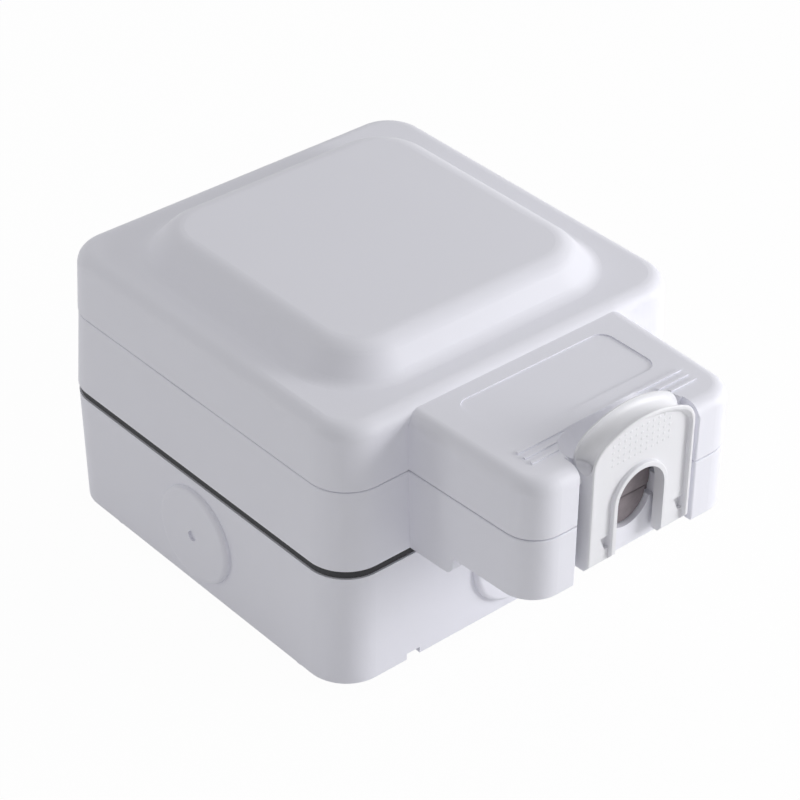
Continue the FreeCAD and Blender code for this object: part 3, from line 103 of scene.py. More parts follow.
# Foam pads: half width, height of the parting, and front face; then for each pad the round nose's centre height
# and radius, the far end's height, the step and the back in Y, and how far its middle lies from the flat
PAD_HALF = 12.0
PAD_PARTING = 61.55
PAD_FRONT = -99.5
LOWER_PAD = ((61.4, 7.8), 49.3, (-98.0, -92.0), 3.6)
UPPER_PAD = ((64.0, 9.1), 74.6, (-95.1, -89.1), 4.6)
PAD_RAYS = 144
PAD_SOFTNESS = 26.0

# Shutter's coil spring
SPRING_WIRE = 0.3
SPRING_TURNS = 9

# Field of thumb pips on the latch's panel: it narrows above a height
PANEL_Y = -103.9
PIP_FOOT_Z = 78.3
PIP_FIELD_HALF = 11.2
PIP_TAPER_Z = 81.0
PIP_TAPER = 0.35
PIP_SUNK = 0.05

# Part of a noise pattern's range that is spread over the wanted range
NOISE_SPAN = (0.25, 0.75)

# Finishes: refraction, darkest and lightest share of the colour, and how far the roughness varies below and above
PLASTIC_IOR = 1.46
PLASTIC_TONES = (0.985, 1.012)
PLASTIC_VARIES = (0.04, 0.04)
PLASTIC_CLOUD = 24.0
RUBBER_IOR = 1.5
RUBBER_TONES = (0.8, 1.2)
RUBBER_VARIES = (0.08, 0.08)
METAL_TONES = (0.86, 1.1)
METAL_VARIES = (0.08, 0.1)
METAL_DEPTH = 0.00001

# Lamps look at a point near the object's middle, from a direction in degrees and a distance
LAMP_AIM = (0, -0.03, 0.04)
TOP_LAMP = (110.0, 68.0, 1.2)
TOP_LAMP_SIZE = 0.5
FILL_LAMP = (-126.0, 3.0, 1.0)
FILL_LAMP_SIZE = 0.2

# Floor: half its side, its roughness, and how far the camera sees plain white instead of the lit floor
FLOOR_REACH = 4.0
FLOOR_ROUGHNESS = 0.9
FLOOR_WHITE = 0.97


# Property groups


class MouldingLook(bpy.types.PropertyGroup):
    """Colours and surface of the moulded pieces."""

    housing_colour: bpy.props.FloatVectorProperty(
        name="Housing", description="Colour of the box, frame and lid", subtype="COLOR", size=3, min=0, max=1,
        default=(0.85, 0.85, 0.92))
    latch_colour: bpy.props.FloatVectorProperty(
        name="Latch", description="Colour of the latch clip", subtype="COLOR", size=3, min=0, max=1,
        default=(0.84, 0.84, 0.875))
    socket_colour: bpy.props.FloatVectorProperty(
        name="Socket face", description="Colour of the socket face and rocker", subtype="COLOR", size=3, min=0, max=1,
        default=(0.78, 0.78, 0.77))
    rear_share: bpy.props.FloatProperty(
        name="Rear moulding", description="Brightness of the rear moulding beside the socket face", default=0.6)
    shutter_colour: bpy.props.FloatVectorProperty(
        name="Shutter", description="Colour of the nylon shutter", subtype="COLOR", size=3, min=0, max=1,
        default=(0.72, 0.70, 0.64))
    grain: bpy.props.FloatProperty(
        name="Grain", description="Size of the spark-eroded grain on the housing", unit="LENGTH", subtype="DISTANCE",
        default=0.00045, min=0.0001, max=0.003)
    grain_depth: bpy.props.FloatProperty(
        name="Grain depth", description="Height of the housing's grain", unit="LENGTH", subtype="DISTANCE",
        default=0.000012, min=0, max=0.0005)


class SealLook(bpy.types.PropertyGroup):
    """Colours of the soft and metal pieces."""

    neoprene_colour: bpy.props.FloatVectorProperty(
        name="Neoprene", description="Colour of the gasket and lid seal", subtype="COLOR", size=3, min=0, max=1,
        default=(0.035, 0.035, 0.04))
    foam_colour: bpy.props.FloatVectorProperty(
        name="Cable foam", description="Colour of the foam pads in the cable mouth", subtype="COLOR", size=3, min=0,
        max=1, default=(0.235, 0.205, 0.22))
    zinc_colour: bpy.props.FloatVectorProperty(
        name="Zinc", description="Colour of plated steel", subtype="COLOR", size=3, min=0, max=1,
        default=(0.62, 0.62, 0.64))
    brass_colour: bpy.props.FloatVectorProperty(
        name="Brass", description="Colour of the contacts and inserts", subtype="COLOR", size=3, min=0, max=1,
        default=(0.78, 0.60, 0.30))


class SealSizes(bpy.types.PropertyGroup):
    """Sections of the neoprene rings, in millimetres."""

    gasket_width: bpy.props.FloatProperty(name="Gasket width", description="Width of the box gasket", default=4.6)
    gasket_height: bpy.props.FloatProperty(name="Gasket height", description="Height of the box gasket", default=2.66)
    lid_width: bpy.props.FloatProperty(name="Lid seal width", description="Width of the lid seal", default=3.5)
    lid_height: bpy.props.FloatProperty(name="Lid seal height", description="Height of the lid seal", default=2.7)
    lid_dome: bpy.props.FloatProperty(
        name="Dome", description="Height of the lid seal's rounded top", default=1.1, min=0, max=2.6)


class FoamSizes(bpy.types.PropertyGroup):
    """Sizes of the two foam pads in the cable mouth, in millimetres."""

    gap: bpy.props.FloatProperty(name="Gap", description="Gap between the two pads", default=0.1, min=0, max=2)
    edge: bpy.props.FloatProperty(name="Edge", description="Rounding of the pads' edges", default=0.6, min=0.1, max=2)
    crown: bpy.props.FloatProperty(name="Crown", description="How far the faces swell", default=0.35, min=0, max=1)
    fill: bpy.props.FloatProperty(
        name="Fill", description="How tightly the foam is filled", default=0.9, min=0, max=1)


class GripSizes(bpy.types.PropertyGroup):
    """Sizes of the thumb pips on the latch, in millimetres."""

    rows: bpy.props.IntProperty(name="Rows", description="Rows of pips", default=5, min=1, max=12)
    columns: bpy.props.IntProperty(name="Columns", description="Pips in a row", default=11, min=1, max=30)
    pitch: bpy.props.FloatProperty(name="Pitch", description="Distance between pips", default=1.95)
    radius: bpy.props.FloatProperty(name="Radius", description="Radius of a pip", default=0.45)
    height: bpy.props.FloatProperty(name="Height", description="Height of a pip", default=0.09)


class StudioSettings(bpy.types.PropertyGroup):
    """Floor, lamps and world."""

    floor_colour: bpy.props.FloatVectorProperty(
        name="Floor", description="Colour of the pale floor", subtype="COLOR", size=3, min=0, max=1,
        default=(0.9, 0.9, 0.9))
    sky: bpy.props.FloatProperty(name="Sky", description="Strength of the even light", default=0.41, min=0)
    key_power: bpy.props.FloatProperty(
        name="Key", description="Power of the low soft lamp at the cable side", unit="POWER", default=3.15, min=0)
    key_azimuth: bpy.props.FloatProperty(
        name="Key azimuth", description="Degrees from the cable side towards +X", default=46.0)
    key_elevation: bpy.props.FloatProperty(
        name="Key elevation", description="Degrees above the floor", default=17.5)
    key_distance: bpy.props.FloatProperty(
        name="Key distance", description="How far away it stands", unit="LENGTH", subtype="DISTANCE", default=0.75)
    key_size: bpy.props.FloatProperty(
        name="Key size", description="Side of the soft lamp", unit="LENGTH", subtype="DISTANCE", default=0.32)
    top_power: bpy.props.FloatProperty(
        name="Top", description="Power of the soft lamp overhead", unit="POWER", default=1.7, min=0)
    fill_power: bpy.props.FloatProperty(
        name="Fill", description="Power of the weak lamp behind the left side", unit="POWER", default=0.88, min=0)


# Surfaces


def mesh_object(name, points, faces, material, smooth=True):
    """Object with its vertices in place and its faces pointing outwards."""
    mesh = bpy.data.meshes.new(name)
    mesh.from_pydata(points, [], faces)
    mesh.polygons.foreach_set("use_smooth", np.full(len(mesh.polygons), smooth))
    mesh.materials.append(material)
    mesh.update()
    piece = bpy.data.objects.new(name, mesh)
    bpy.context.scene.collection.objects.link(piece)
    return piece


def grid_faces(rows, columns, close_rows=False):
    """Quads between neighbouring points of a grid whose columns close, and its rows where that is asked."""
    i = np.arange(rows if close_rows else rows - 1)
    a, b = np.meshgrid(i, np.arange(columns), indexing="ij")
    a2, b2 = (a + 1) % rows, (b + 1) % columns
    quads = np.stack([a * columns + b, a2 * columns + b, a2 * columns + b2, a * columns + b2], axis=-1)
    return quads.reshape(-1, 4).tolist()


def end_faces(rows, columns):
    """Flat faces on the first and last row of a grid whose columns close."""
    last = (rows - 1) * columns
    return [list(range(columns)), list(range(last, last + columns))[::-1]]


def rounded_outline(corners, radii, steps):
    """Closed outline with rounded corners and its outward normals.

    Each corner is an arc of its radius about the point that lies at that radius from both sides; the arc's angle
    runs from one side's normal to the next one's in even steps.
    """
    corners = np.asarray(corners, float)
    before = corners - np.roll(corners, 1, axis=0)
    after = np.roll(corners, -1, axis=0) - corners
    d0 = before / np.linalg.norm(before, axis=1, keepdims=True)
    d1 = after / np.linalg.norm(after, axis=1, keepdims=True)
    n0 = np.stack([d0[:, 1], -d0[:, 0]], axis=1)
    n1 = np.stack([d1[:, 1], -d1[:, 0]], axis=1)
    turn = np.arctan2(d0[:, 0] * d1[:, 1] - d0[:, 1] * d1[:, 0], (d0 * d1).sum(axis=1))
    signed = np.asarray(radii, float) * np.sign(turn)
    centre = corners - (n0 + n1) * (signed / (1 + (n0 * n1).sum(axis=1)))[:, None]
    share = np.linspace(0, 1, steps)
    angle = np.arctan2(n0[:, 1], n0[:, 0])[:, None] + turn[:, None] * share
    normals = np.stack([np.cos(angle), np.sin(angle)], axis=-1)
    points = centre[:, None] + signed[:, None, None] * normals
    return points.reshape(-1, 2), normals.reshape(-1, 2)


def round_profile(width, height, radius, steps=5):
    """Rounded rectangle about its own middle, as (across, up) points running anticlockwise."""
    w, h = width / 2, height / 2
    points, _ = rounded_outline([(-w, -h), (w, -h), (w, h), (-w, h)], [radius] * 4, steps)
    return points


def swept_ring(outline, normals, profile, z):
    """Points of a profile carried round an outline: across goes along the outline's normal, up along Z."""
    across = profile[None, :, 0, None] * normals[:, None, :]
    flat = outline[:, None, :] + across
    up = np.broadcast_to(profile[None, :, 1] + z, flat.shape[:2])
    return np.concatenate([flat, up[..., None]], axis=-1)


def domed_profile(width, height, dome, steps=9):
    """Flat foot and upright sides under half an ellipse that rises by the dome's height, anticlockwise."""
    angle = np.linspace(0, np.pi, steps)
    arch = np.stack([width / 2 * np.cos(angle), height / 2 - dome + dome * np.sin(angle)], axis=1)
    foot = np.array([(-width / 2, -height / 2), (width / 2, -height / 2)])
    return np.concatenate([foot, arch])


def ring_mesh(outline, normals, profile, z, closed=True):
    """Points and faces of a profile swept round an outline; an open run gets a flat end at either side."""
    points = swept_ring(outline, normals, profile, z)
    rows, columns = points.shape[:2]
    faces = grid_faces(rows, columns, closed)
    if not closed:
        faces += end_faces(rows, columns)
    return points.reshape(-1, 3), faces


def several(meshes):
    """One mesh from several: every part's faces count on from the points before it."""
    starts = np.cumsum([0] + [len(points) for points, part in meshes[:-1]])
    faces = [[int(i + start) for i in face] for start, (points, part) in zip(starts, meshes) for face in part]
    return np.concatenate([points for points, part in meshes]), faces


def reach_to_disc(angle, middle, centre, radius):
    """Distance from a middle point on the Z axis to a circle round a centre on it, in each direction."""
    along = np.sin(angle) * (centre - middle)
    return along + np.sqrt(along ** 2 - (centre - middle) ** 2 + radius ** 2)


def reach_to_side(angle, towards, distance):
    """Distance to a straight side in each direction, far where the ray turns away from it."""
    return distance / np.maximum(np.cos(angle - towards), 1e-3)


def soft_least(*reaches):
    """Least of several distances with its corners rounded: the power mean with a large negative power."""
    return np.sum([reach ** -PAD_SOFTNESS for reach in reaches], axis=0) ** (-1.0 / PAD_SOFTNESS)


def pad_mesh(angle, middle, nose, block, depths, edge, crown):
    """Foam pad in rings about the Y axis: crowned face, rounded edge, nose, step, block and rounded back.

    The face's rings shrink to its middle while their depth falls by the square of their share of the way out; each
    rounded edge is a quarter circle in (reach, depth). nose and block are distances from the middle by angle.
    """
    front, step, back = depths
    inmost, fine = 0.08, 0.1
    share = np.linspace(inmost, 1, 9)[:, None]
    turn = np.linspace(0, np.pi / 2, 6)[1:, None]
    sunk = min(edge, 0.45 * (step - front - crown))
    rings = [
        (share * (nose - edge), front + crown * share ** 2),
        (nose - edge + edge * np.sin(turn), front + crown + sunk * (1 - np.cos(turn))),
        (nose[None], np.array([[step - fine]])),
        (nose[None] + fine, np.array([[step]])),
        (np.maximum(block - edge, nose + 2 * fine)[None], np.array([[step]])),
        (block - edge + edge * np.sin(turn), step + edge * (1 - np.cos(turn))),
        (block - edge + edge * np.cos(turn[:-1]), back - edge + edge * np.sin(turn[:-1])),
        (share[::-1] * (block - edge), np.full(share.shape, back)),
    ]
    reach = np.concatenate([np.broadcast_to(far, (len(deep), len(angle))) for far, deep in rings])
    depth = np.concatenate([np.broadcast_to(deep, (len(deep), len(angle))) for far, deep in rings])
    points = np.stack([reach * np.cos(angle), depth, middle + reach * np.sin(angle)], axis=-1)
    rows, columns = reach.shape
    ends = np.array([(0.0, front, middle), (0.0, back, middle)])
    j = np.arange(columns)
    first = np.stack([np.full(columns, rows * columns), j, (j + 1) % columns], axis=1)
    j = j + (rows - 1) * columns
    last = np.stack([np.full(columns, rows * columns + 1), np.roll(j, -1), j], axis=1)
    faces = grid_faces(rows, columns) + first.tolist() + last.tolist()
    return np.concatenate([points.reshape(-1, 3), ends]), faces


def pip_mesh(places, front, radius, height, around=12):
    """Low round pips on a plane that faces -Y: each is a cap that rises by the cosine of the way out."""
    turn = np.linspace(0, 2 * np.pi, around, endpoint=False)
    share = np.array([1.0, 1.0, 0.8, 0.5, 0.2])
    lift = np.array([-PIP_SUNK, 0.0, *(height * np.cos(share[2:] * np.pi / 2))])
    x = places[:, None, None, 0] + radius * share[None, :, None] * np.cos(turn)
    z = places[:, None, None, 1] + radius * share[None, :, None] * np.sin(turn)
    y = np.broadcast_to(front - lift[None, :, None], x.shape)
    points = np.stack([x, y, z], axis=-1)
    size = len(share) * around
    one = grid_faces(len(share), around) + [list(range(size - around, size))]
    return points.reshape(-1, 3), [[i + k * size for i in face] for k in range(len(places)) for face in one]


def coil_mesh(centre, length, outer, wire, turns, steps=30, around=8):
    """Round wire on a helix along Y: the wire's circle is carried by the outward and the sideways direction.

    The helix turns at a steady rate while its height grows evenly; the sideways direction is square to the helix's
    tangent and to the way out from its axis.
    """
    turn = np.linspace(0, 2 * np.pi * turns, steps * turns + 1)
    rise = (length - 2 * wire) / turn[-1]
    radius = outer - wire
    out = np.stack([np.cos(turn), np.zeros_like(turn), np.sin(turn)], axis=1)
    path = radius * out + np.stack([0 * turn, rise * turn - length / 2 + wire, 0 * turn], axis=1)
    tangent = np.stack([-radius * np.sin(turn), np.full_like(turn, rise), radius * np.cos(turn)], axis=1)
    sideways = np.cross(tangent / np.linalg.norm(tangent, axis=1, keepdims=True), out)
    angle = np.linspace(0, 2 * np.pi, around, endpoint=False)[:, None]
    points = path[:, None] + wire * (np.cos(angle) * out[:, None] + np.sin(angle) * sideways[:, None])
    faces = grid_faces(len(turn), around) + end_faces(len(turn), around)
    return (points + centre).reshape(-1, 3), faces


def facing_out(piece):
    """Turns every face of a closed surface outwards."""
    shape = bmesh.new()
    shape.from_mesh(piece.data)
    bmesh.ops.recalc_face_normals(shape, faces=shape.faces)
    shape.to_mesh(piece.data)
    shape.free()


def new_piece(name, mesh, finish, body, slot, *replaced):
    """Adds a surface given in millimetres, with its finish and body, and hides the nodes that it stands for; the slot
    is not used.
    """
    points, faces = mesh
    piece = mesh_object(name, (points * MM).tolist(), faces, bpy.data.materials[finish])
    facing_out(piece)
    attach(piece, body)
    if replaced:
        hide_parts(*replaced)
    return piece


# Finishes


def graph(name):
    """New material, its node tree and its main shader."""
    material = bpy.data.materials.new(name)
    material.use_nodes = True
    tree = material.node_tree
    shader = tree.nodes["Principled BSDF"]
    return material, tree, shader


def noise(tree, scale, detail, rough=0.5, stretch=(1, 1, 1)):
    """Noise in object space, in features per metre, stretched along the axes."""
    place = tree.nodes.new("ShaderNodeTexCoord")
    mapping = tree.nodes.new("ShaderNodeMapping")
    mapping.inputs["Scale"].default_value = stretch
    texture = tree.nodes.new("ShaderNodeTexNoise")
    texture.inputs["Scale"].default_value = scale
    texture.inputs["Detail"].default_value = detail
    texture.inputs["Roughness"].default_value = rough
    tree.links.new(place.outputs["Object"], mapping.inputs["Vector"])
    tree.links.new(mapping.outputs["Vector"], texture.inputs["Vector"])
    return texture.outputs["Fac"]


def shade(colour, factor):
    """Colour times a factor, held at white."""
    return tuple(min(1.0, c * factor) for c in colour)


def vary(tree, shader, value, roughness, varies):
    """Gives the shader a roughness that varies below and above its middle by a pattern."""
    node = tree.nodes.new("ShaderNodeMapRange")
    node.inputs["From Min"].default_value, node.inputs["From Max"].default_value = NOISE_SPAN
    node.inputs["To Min"].default_value = roughness - varies[0]
    node.inputs["To Max"].default_value = roughness + varies[1]
    tree.links.new(value, node.inputs["Value"])
    tree.links.new(node.outputs["Result"], shader.inputs["Roughness"])


def tone(tree, shader, value, colour, shares):
    """Gives the shader a colour between its darkest and lightest share by a pattern."""
    node = tree.nodes.new("ShaderNodeMix")
    node.data_type = "RGBA"
    node.inputs["A"].default_value = (*shade(colour, shares[0]), 1)
    node.inputs["B"].default_value = (*shade(colour, shares[1]), 1)
    tree.links.new(value, node.inputs["Factor"])
    tree.links.new(node.outputs["Result"], shader.inputs["Base Color"])


def bump(tree, shader, height, depth):
    """Tilts the shader's normal by a pattern of a real height."""
    node = tree.nodes.new("ShaderNodeBump")
    node.inputs["Strength"].default_value = 1.0
    node.inputs["Distance"].default_value = depth
    tree.links.new(height, node.inputs["Height"])
    tree.links.new(node.outputs["Normal"], shader.inputs["Normal"])


def moulded_plastic(name, colour, grain, depth, roughness):
    """Moulded plastic: a faint cloud of tone, a fine spark-eroded grain, and roughness that varies with it."""
    material, tree, shader = graph(name)
    cloud = noise(tree, scale=PLASTIC_CLOUD, detail=3.0)
    fine = noise(tree, scale=1.0 / grain, detail=2.0)
    tone(tree, shader, cloud, colour, PLASTIC_TONES)
    vary(tree, shader, fine, roughness, PLASTIC_VARIES)
    bump(tree, shader, fine, depth)
    shader.inputs["IOR"].default_value = PLASTIC_IOR
    return material


def soft_rubber(name, colour, grain, depth, roughness):
    """Rubber or foam: mottled, matt, with open grain."""
    material, tree, shader = graph(name)
    cloud = noise(tree, scale=1.0 / (6 * grain), detail=4.0, rough=0.6)
    fine = noise(tree, scale=1.0 / grain, detail=3.0, rough=0.7)
    tone(tree, shader, cloud, colour, RUBBER_TONES)
    vary(tree, shader, fine, roughness, RUBBER_VARIES)
    bump(tree, shader, fine, depth)
    shader.inputs["IOR"].default_value = RUBBER_IOR
    return material


def drawn_metal(name, colour, roughness, stretch):
    """Plated or drawn metal: streaks along one direction and small changes of roughness."""
    material, tree, shader = graph(name)
    streak = noise(tree, scale=1.0, detail=4.0, stretch=stretch)
    tone(tree, shader, streak, colour, METAL_TONES)
    vary(tree, shader, streak, roughness, METAL_VARIES)
    bump(tree, shader, streak, METAL_DEPTH)
    shader.inputs["Metallic"].default_value = 1.0
    return material


def dress(node, material):
    """Gives a carried-over node its finish."""
    piece = NODES[node]
    if not piece.material_slots:
        piece.data.materials.append(material)
    for slot in piece.material_slots:
        slot.material = material


def seen_directly(tree):
    """1 for camera, mirror and glass rays, so that they all meet the white background."""
    path = tree.nodes.new("ShaderNodeLightPath")
    first = tree.nodes.new("ShaderNodeMath")
    first.operation = "MAXIMUM"
    second = tree.nodes.new("ShaderNodeMath")
    second.operation = "MAXIMUM"
    tree.links.new(path.outputs["Is Camera Ray"], first.inputs[0])
    tree.links.new(path.outputs["Is Glossy Ray"], first.inputs[1])
    tree.links.new(first.outputs["Value"], second.inputs[0])
    tree.links.new(path.outputs["Is Transmission Ray"], second.inputs[1])
    return second.outputs["Value"]


def direction(azimuth, elevation):
    """Way out from the object: azimuth in degrees from -Y towards +X, elevation in degrees above the floor."""
    a, e = math.radians(azimuth), math.radians(elevation)
    return Vector((math.sin(a) * math.cos(e), -math.cos(a) * math.cos(e), math.sin(e)))


# Operators


class SOCKET_OT_finishes(bpy.types.Operator):
    """Makes the finishes and gives them to the moulded and metal pieces"""

    bl_idname = "socket.finishes"
    bl_label = "Finish mouldings and metal"

    def execute(self, context):
        look = context.scene.socket_moulding
        seal = context.scene.socket_seals
        grain, depth = look.grain, look.grain_depth
        rear = shade(look.socket_colour, look.rear_share)
        housing = moulded_plastic("housing_satin", look.housing_colour, grain, depth, roughness=0.5)
        latch = moulded_plastic("latch_satin", look.latch_colour, 2 * grain, depth / 3, roughness=0.38)
        face = moulded_plastic("socket_gloss", look.socket_colour, 4 * grain, depth / 6, roughness=0.25)
        inner = moulded_plastic("rear_moulding", rear, grain, depth, roughness=0.55)
        shutter = moulded_plastic("shutter_nylon", look.shutter_colour, grain, depth, roughness=0.45)
        zinc = drawn_metal("zinc_plate", seal.zinc_colour, roughness=0.32, stretch=(900, 900, 260))
        brass = drawn_metal("drawn_brass", seal.brass_colour, roughness=0.3, stretch=(260, 260, 1400))
        soft_rubber("neoprene", seal.neoprene_colour, grain=0.0005, depth=0.00003, roughness=0.75)
        soft_rubber("cable_foam", seal.foam_colour, grain=0.0004, depth=0.00008, roughness=0.9)
        for finish, nodes in (
                (housing, ("back_box", "front_frame", "lid")),
                (latch, ("latch",)),
                (face, ("socket_front", "rocker")),
                (inner, ("socket_rear",)),
                (shutter, ("shutter",)),
                (zinc, ("frame_screws", "module_screws", "terminal_screws", "hinge_pins", "earth_block_screw")),
                (brass, ("post_inserts", "earth_contact", "live_contact", "neutral_contact", "line_terminal",
                         "return_terminal", "switch_blades", "earth_block"))):
            for node in nodes:
                dress(node, finish)
        return {"FINISHED"}


class SOCKET_OT_seals(bpy.types.Operator):
    """Makes the neoprene box gasket, lid seal and screw washers"""

    bl_idname = "socket.seals"
    bl_label = "Neoprene seals"

    def execute(self, context):
        sizes = context.scene.socket_seal_sizes
        self.gasket(sizes)
        self.lid_seal(sizes)
        self.washers()
        return {"FINISHED"}

    def gasket(self, sizes):
        """Ring between box and frame, on a square mid-line."""
        half = GASKET_HALF
        corners = [(-half, -half), (half, -half), (half, half), (-half, half)]
        outline, normals = rounded_outline(corners, [GASKET_CORNER] * 4, 14)
        profile = round_profile(sizes.gasket_width, sizes.gasket_height, GASKET_EDGE)
        mesh = ring_mesh(outline, normals, profile, GASKET_Z)
        new_piece("gasket_ring", mesh, "neoprene", "housing", "seal", "box_gasket")

    def lid_seal(self, sizes):
        """Run along the frame's ledge that starts and ends beside the cable mouth."""
        half, (neck_x, neck_y), (front_x, front_y) = SEAL_HALF, SEAL_NECK, SEAL_FRONT
        right = [(front_x, front_y), (neck_x, neck_y), (neck_x, -half), (half, -half), (half, half)]
        left = [(-x, y) for x, y in reversed(right)]
        radii = [SEAL_FRONT_CORNER, SEAL_NECK_BEND, SEAL_NECK_CORNER, SEAL_CORNER, SEAL_CORNER]
        outline, normals = rounded_outline(right + left, radii + radii[::-1], 9)
        outline = np.concatenate([[(SEAL_END_X, front_y)], outline, [(-SEAL_END_X, front_y)]])
        normals = np.concatenate([[(0, -1)], normals, [(0, -1)]])
        profile = domed_profile(sizes.lid_width, sizes.lid_height, sizes.lid_dome)
        mesh = ring_mesh(outline, normals, profile, SEAL_FOOT_Z + sizes.lid_height / 2, closed=False)
        new_piece("lid_seal_run", mesh, "neoprene", "housing", "seal", "lid_seal")

    def washers(self):
        """Four washers under the heads of the frame's screws."""
        turn = np.linspace(0, 2 * np.pi, 40, endpoint=False)
        normals = np.stack([np.cos(turn), np.sin(turn)], axis=1)
        profile = round_profile(*WASHER_SECTION, WASHER_EDGE, 4)
        rings = [ring_mesh(WASHER_PLACE * np.array(place) + WASHER_RADIUS * normals, normals, profile, WASHER_Z)
                 for place in ((1, 1), (-1, 1), (-1, -1), (1, -1))]
        new_piece("washer_rings", several(rings), "neoprene", "housing", "seal", "screw_washers")


class SOCKET_OT_foam(bpy.types.Operator):
    """Makes the two foam pads that close the cable mouth"""

    bl_idname = "socket.foam"
    bl_label = "Cable foam"

    def execute(self, context):
        sizes = context.scene.socket_foam
        self.pad(sizes, "lower_foam_pad", LOWER_PAD, -1, "housing", "lower_cable_seal")
        self.pad(sizes, "upper_foam_pad", UPPER_PAD, 1, "lid", "upper_cable_seal")
        return {"FINISHED"}

    def pad(self, sizes, name, shape, side, body, node):
        """One pad on its side of the parting: a round nose in the mouth and a square block behind it."""
        (disc_z, disc_radius), end_z, (step, back), inset = shape
        angle = np.linspace(-np.pi, np.pi, PAD_RAYS, endpoint=False)
        towards = side * np.pi / 2
        flat_z = PAD_PARTING + side * sizes.gap / 2
        middle = flat_z + side * inset
        flat = reach_to_side(angle, -towards, side * (middle - flat_z))
        walls = [reach_to_side(angle, wall, PAD_HALF) for wall in (0.0, np.pi)]
        nose = soft_least(flat, reach_to_disc(angle, middle, disc_z, disc_radius))
        block = soft_least(flat, reach_to_side(angle, towards, side * (end_z - middle)), *walls)
        mesh = pad_mesh(angle, middle, nose, block, (PAD_FRONT, step, back), sizes.edge, sizes.crown)
        piece = new_piece(name, mesh, "cable_foam", body, "seal", node)


class SOCKET_OT_spring(bpy.types.Operator):
    """Makes the shutter's coil spring at one fixed length, though the real spring shortens as the shutter slides"""

    bl_idname = "socket.spring"
    bl_label = "Shutter spring"

    def execute(self, context):
        low, high = (np.array(corner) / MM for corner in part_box("shutter_spring"))
        centre = (low + high) / 2
        length = high[1] - low[1]
        mesh = coil_mesh(centre, length, (high[0] - low[0]) / 2, SPRING_WIRE, SPRING_TURNS)
        piece = new_piece("shutter_coil", mesh, "zinc_plate", "housing", "steel", "shutter_spring")
        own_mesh(piece)
        return {"FINISHED"}


class SOCKET_OT_grip(bpy.types.Operator):
    """Makes the thumb pips on the latch's panel"""

    bl_idname = "socket.grip"
    bl_label = "Thumb pips"

    def execute(self, context):
        sizes = context.scene.socket_grip
        x, z = np.meshgrid(sizes.pitch * (np.arange(sizes.columns) - (sizes.columns - 1) / 2),
                           PIP_FOOT_Z + sizes.pitch * np.arange(sizes.rows))
        places = np.stack([x.ravel(), z.ravel()], axis=1)
        half = PIP_FIELD_HALF - PIP_TAPER * np.maximum(places[:, 1] - PIP_TAPER_Z, 0)
        mesh = pip_mesh(places[np.abs(places[:, 0]) < half], PANEL_Y, sizes.radius, sizes.height)
        new_piece("thumb_pips", mesh, "latch_satin", "latch", "latch")
        return {"FINISHED"}


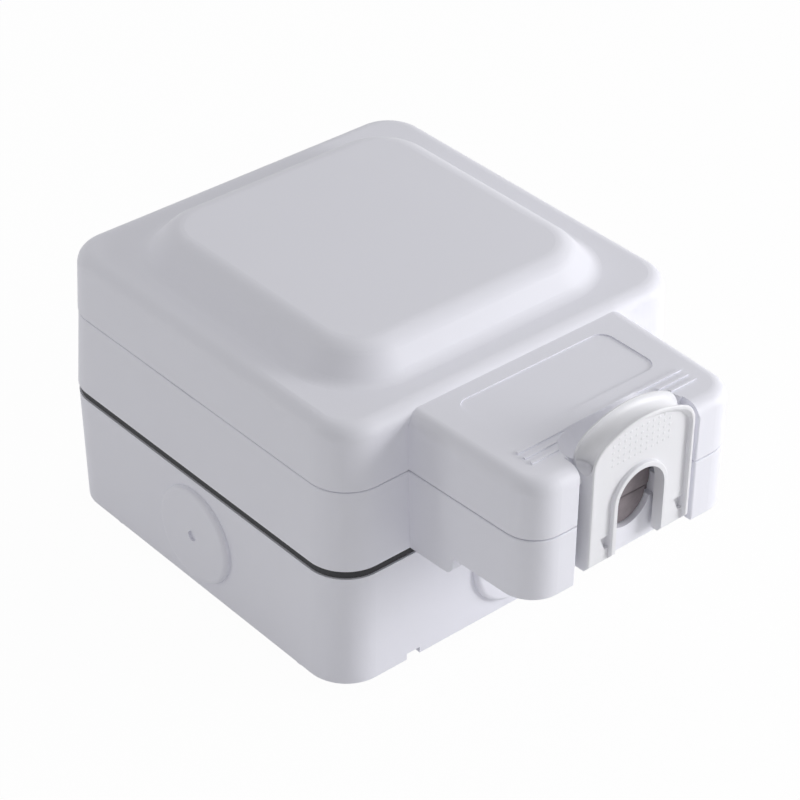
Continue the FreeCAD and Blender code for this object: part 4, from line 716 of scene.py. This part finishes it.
class SOCKET_OT_studio(bpy.types.Operator):
    """Makes the pale floor, the soft lamps, the world and the photograph's camera"""

    bl_idname = "socket.studio"
    bl_label = "Studio"

    def execute(self, context):
        settings = context.scene.socket_studio
        self.floor(settings)
        self.lamps(context, settings)
        self.camera(context)
        context.scene.view_settings.view_transform = "Standard"
        return {"FINISHED"}

    def floor(self, settings):
        """A flat sheet that the camera sees as white with a faint shadow."""
        material, tree, shader = graph("studio_floor")
        shader.inputs["Base Color"].default_value = (*settings.floor_colour, 1)
        shader.inputs["Roughness"].default_value = FLOOR_ROUGHNESS
        glow = tree.nodes.new("ShaderNodeEmission")
        glow.inputs["Color"].default_value = (1, 1, 1, 1)
        glow.inputs["Strength"].default_value = 1.0
        faint = tree.nodes.new("ShaderNodeMixShader")
        faint.inputs["Fac"].default_value = FLOOR_WHITE
        tree.links.new(shader.outputs["BSDF"], faint.inputs[1])
        tree.links.new(glow.outputs["Emission"], faint.inputs[2])
        seen = tree.nodes.new("ShaderNodeMixShader")
        tree.links.new(seen_directly(tree), seen.inputs["Fac"])
        tree.links.new(shader.outputs["BSDF"], seen.inputs[1])
        tree.links.new(faint.outputs["Shader"], seen.inputs[2])
        tree.links.new(seen.outputs["Shader"], tree.nodes["Material Output"].inputs["Surface"])
        reach = FLOOR_REACH
        points = [(-reach, -reach, 0), (reach, -reach, 0), (reach, reach, 0), (-reach, reach, 0)]
        mesh_object("studio_floor", points, [(0, 1, 2, 3)], material, smooth=False)

    def lamps(self, context, settings):
        """The even light of the world, and three soft lamps."""
        world = bpy.data.worlds.new("studio_world")
        world.use_nodes = True
        tree = world.node_tree
        sky = tree.nodes["Background"]
        sky.inputs["Color"].default_value = (1, 1, 1, 1)
        sky.inputs["Strength"].default_value = settings.sky
        white = tree.nodes.new("ShaderNodeBackground")
        white.inputs["Color"].default_value = (1, 1, 1, 1)
        white.inputs["Strength"].default_value = 1.0
        seen = tree.nodes.new("ShaderNodeMixShader")
        tree.links.new(seen_directly(tree), seen.inputs["Fac"])
        tree.links.new(sky.outputs["Background"], seen.inputs[1])
        tree.links.new(white.outputs["Background"], seen.inputs[2])
        tree.links.new(seen.outputs["Shader"], tree.nodes["World Output"].inputs["Surface"])
        context.scene.world = world
        key_place = (settings.key_azimuth, settings.key_elevation, settings.key_distance)
        self.lamp(context, "key_lamp", key_place, settings.key_power, settings.key_size)
        self.lamp(context, "top_lamp", TOP_LAMP, settings.top_power, TOP_LAMP_SIZE)
        self.lamp(context, "fill_lamp", FILL_LAMP, settings.fill_power, FILL_LAMP_SIZE)

    def lamp(self, context, name, place, power, size):
        """Soft square lamp that looks at the object from an azimuth, an elevation and a distance."""
        lamp = bpy.data.lights.new(name, "AREA")
        lamp.energy = power
        lamp.size = size
        holder = bpy.data.objects.new(name, lamp)
        azimuth, elevation, distance = place
        away = direction(azimuth, elevation)
        holder.location = Vector(LAMP_AIM) + distance * away
        holder.rotation_euler = (-away).to_track_quat("-Z", "Y").to_euler()
        context.scene.collection.objects.link(holder)

    def camera(self, context):
        """Camera frame from azimuth, elevation and roll: it looks along the way back to its aim."""
        back = direction(VIEW_AZIMUTH, VIEW_ELEVATION)
        roll = math.radians(VIEW_ROLL)
        level = (-back).cross(Vector((0, 0, 1))).normalized()
        rise = level.cross(-back)
        right = math.cos(roll) * level + math.sin(roll) * rise
        up = math.cos(roll) * rise - math.sin(roll) * level
        camera = bpy.data.cameras.new("photo_camera")
        camera.sensor_width = VIEW_SENSOR
        camera.lens = VIEW_LENS
        camera.clip_start, camera.clip_end = VIEW_CLIP
        holder = bpy.data.objects.new("photo_camera", camera)
        place = Vector(VIEW_AIM) + back * VIEW_DISTANCE + right * VIEW_SLIDE[0] + up * VIEW_SLIDE[1]
        holder.matrix_world = Matrix.Translation(place) @ Matrix((right, up, back)).transposed().to_4x4()
        context.scene.collection.objects.link(holder)
        context.scene.camera = holder


class SOCKET_PT_panel(bpy.types.Panel):
    """Shows a button for each operator that makes the pieces"""

    bl_idname = "SOCKET_PT_panel"
    bl_label = "Weatherproof socket"
    bl_space_type = "VIEW_3D"
    bl_region_type = "UI"
    bl_category = "Socket"

    def draw(self, context):
        column = self.layout.column()
        for operator in OPERATORS:
            column.operator(operator.bl_idname)


GROUPS = [("socket_moulding", MouldingLook), ("socket_seals", SealLook), ("socket_seal_sizes", SealSizes),
          ("socket_foam", FoamSizes), ("socket_grip", GripSizes), ("socket_studio", StudioSettings)]
OPERATORS = [SOCKET_OT_finishes, SOCKET_OT_seals, SOCKET_OT_foam, SOCKET_OT_spring, SOCKET_OT_grip,
             SOCKET_OT_studio]


def register():
    """Registers the groups of settings, the operators and the panel."""
    for name, group in GROUPS:
        bpy.utils.register_class(group)
        setattr(bpy.types.Scene, name, bpy.props.PointerProperty(type=group))
    for operator in OPERATORS:
        bpy.utils.register_class(operator)
    bpy.utils.register_class(SOCKET_PT_panel)


def unregister():
    """Takes them out again, the last one first."""
    bpy.utils.unregister_class(SOCKET_PT_panel)
    for operator in reversed(OPERATORS):
        bpy.utils.unregister_class(operator)
    for name, group in reversed(GROUPS):
        delattr(bpy.types.Scene, name)
        bpy.utils.unregister_class(group)


def main():
    """Makes every piece by its operator."""
    register()
    for operator in OPERATORS:
        family, action = operator.bl_idname.split(".")
        getattr(getattr(bpy.ops, family), action)()


if __name__ == "__main__":
    main()
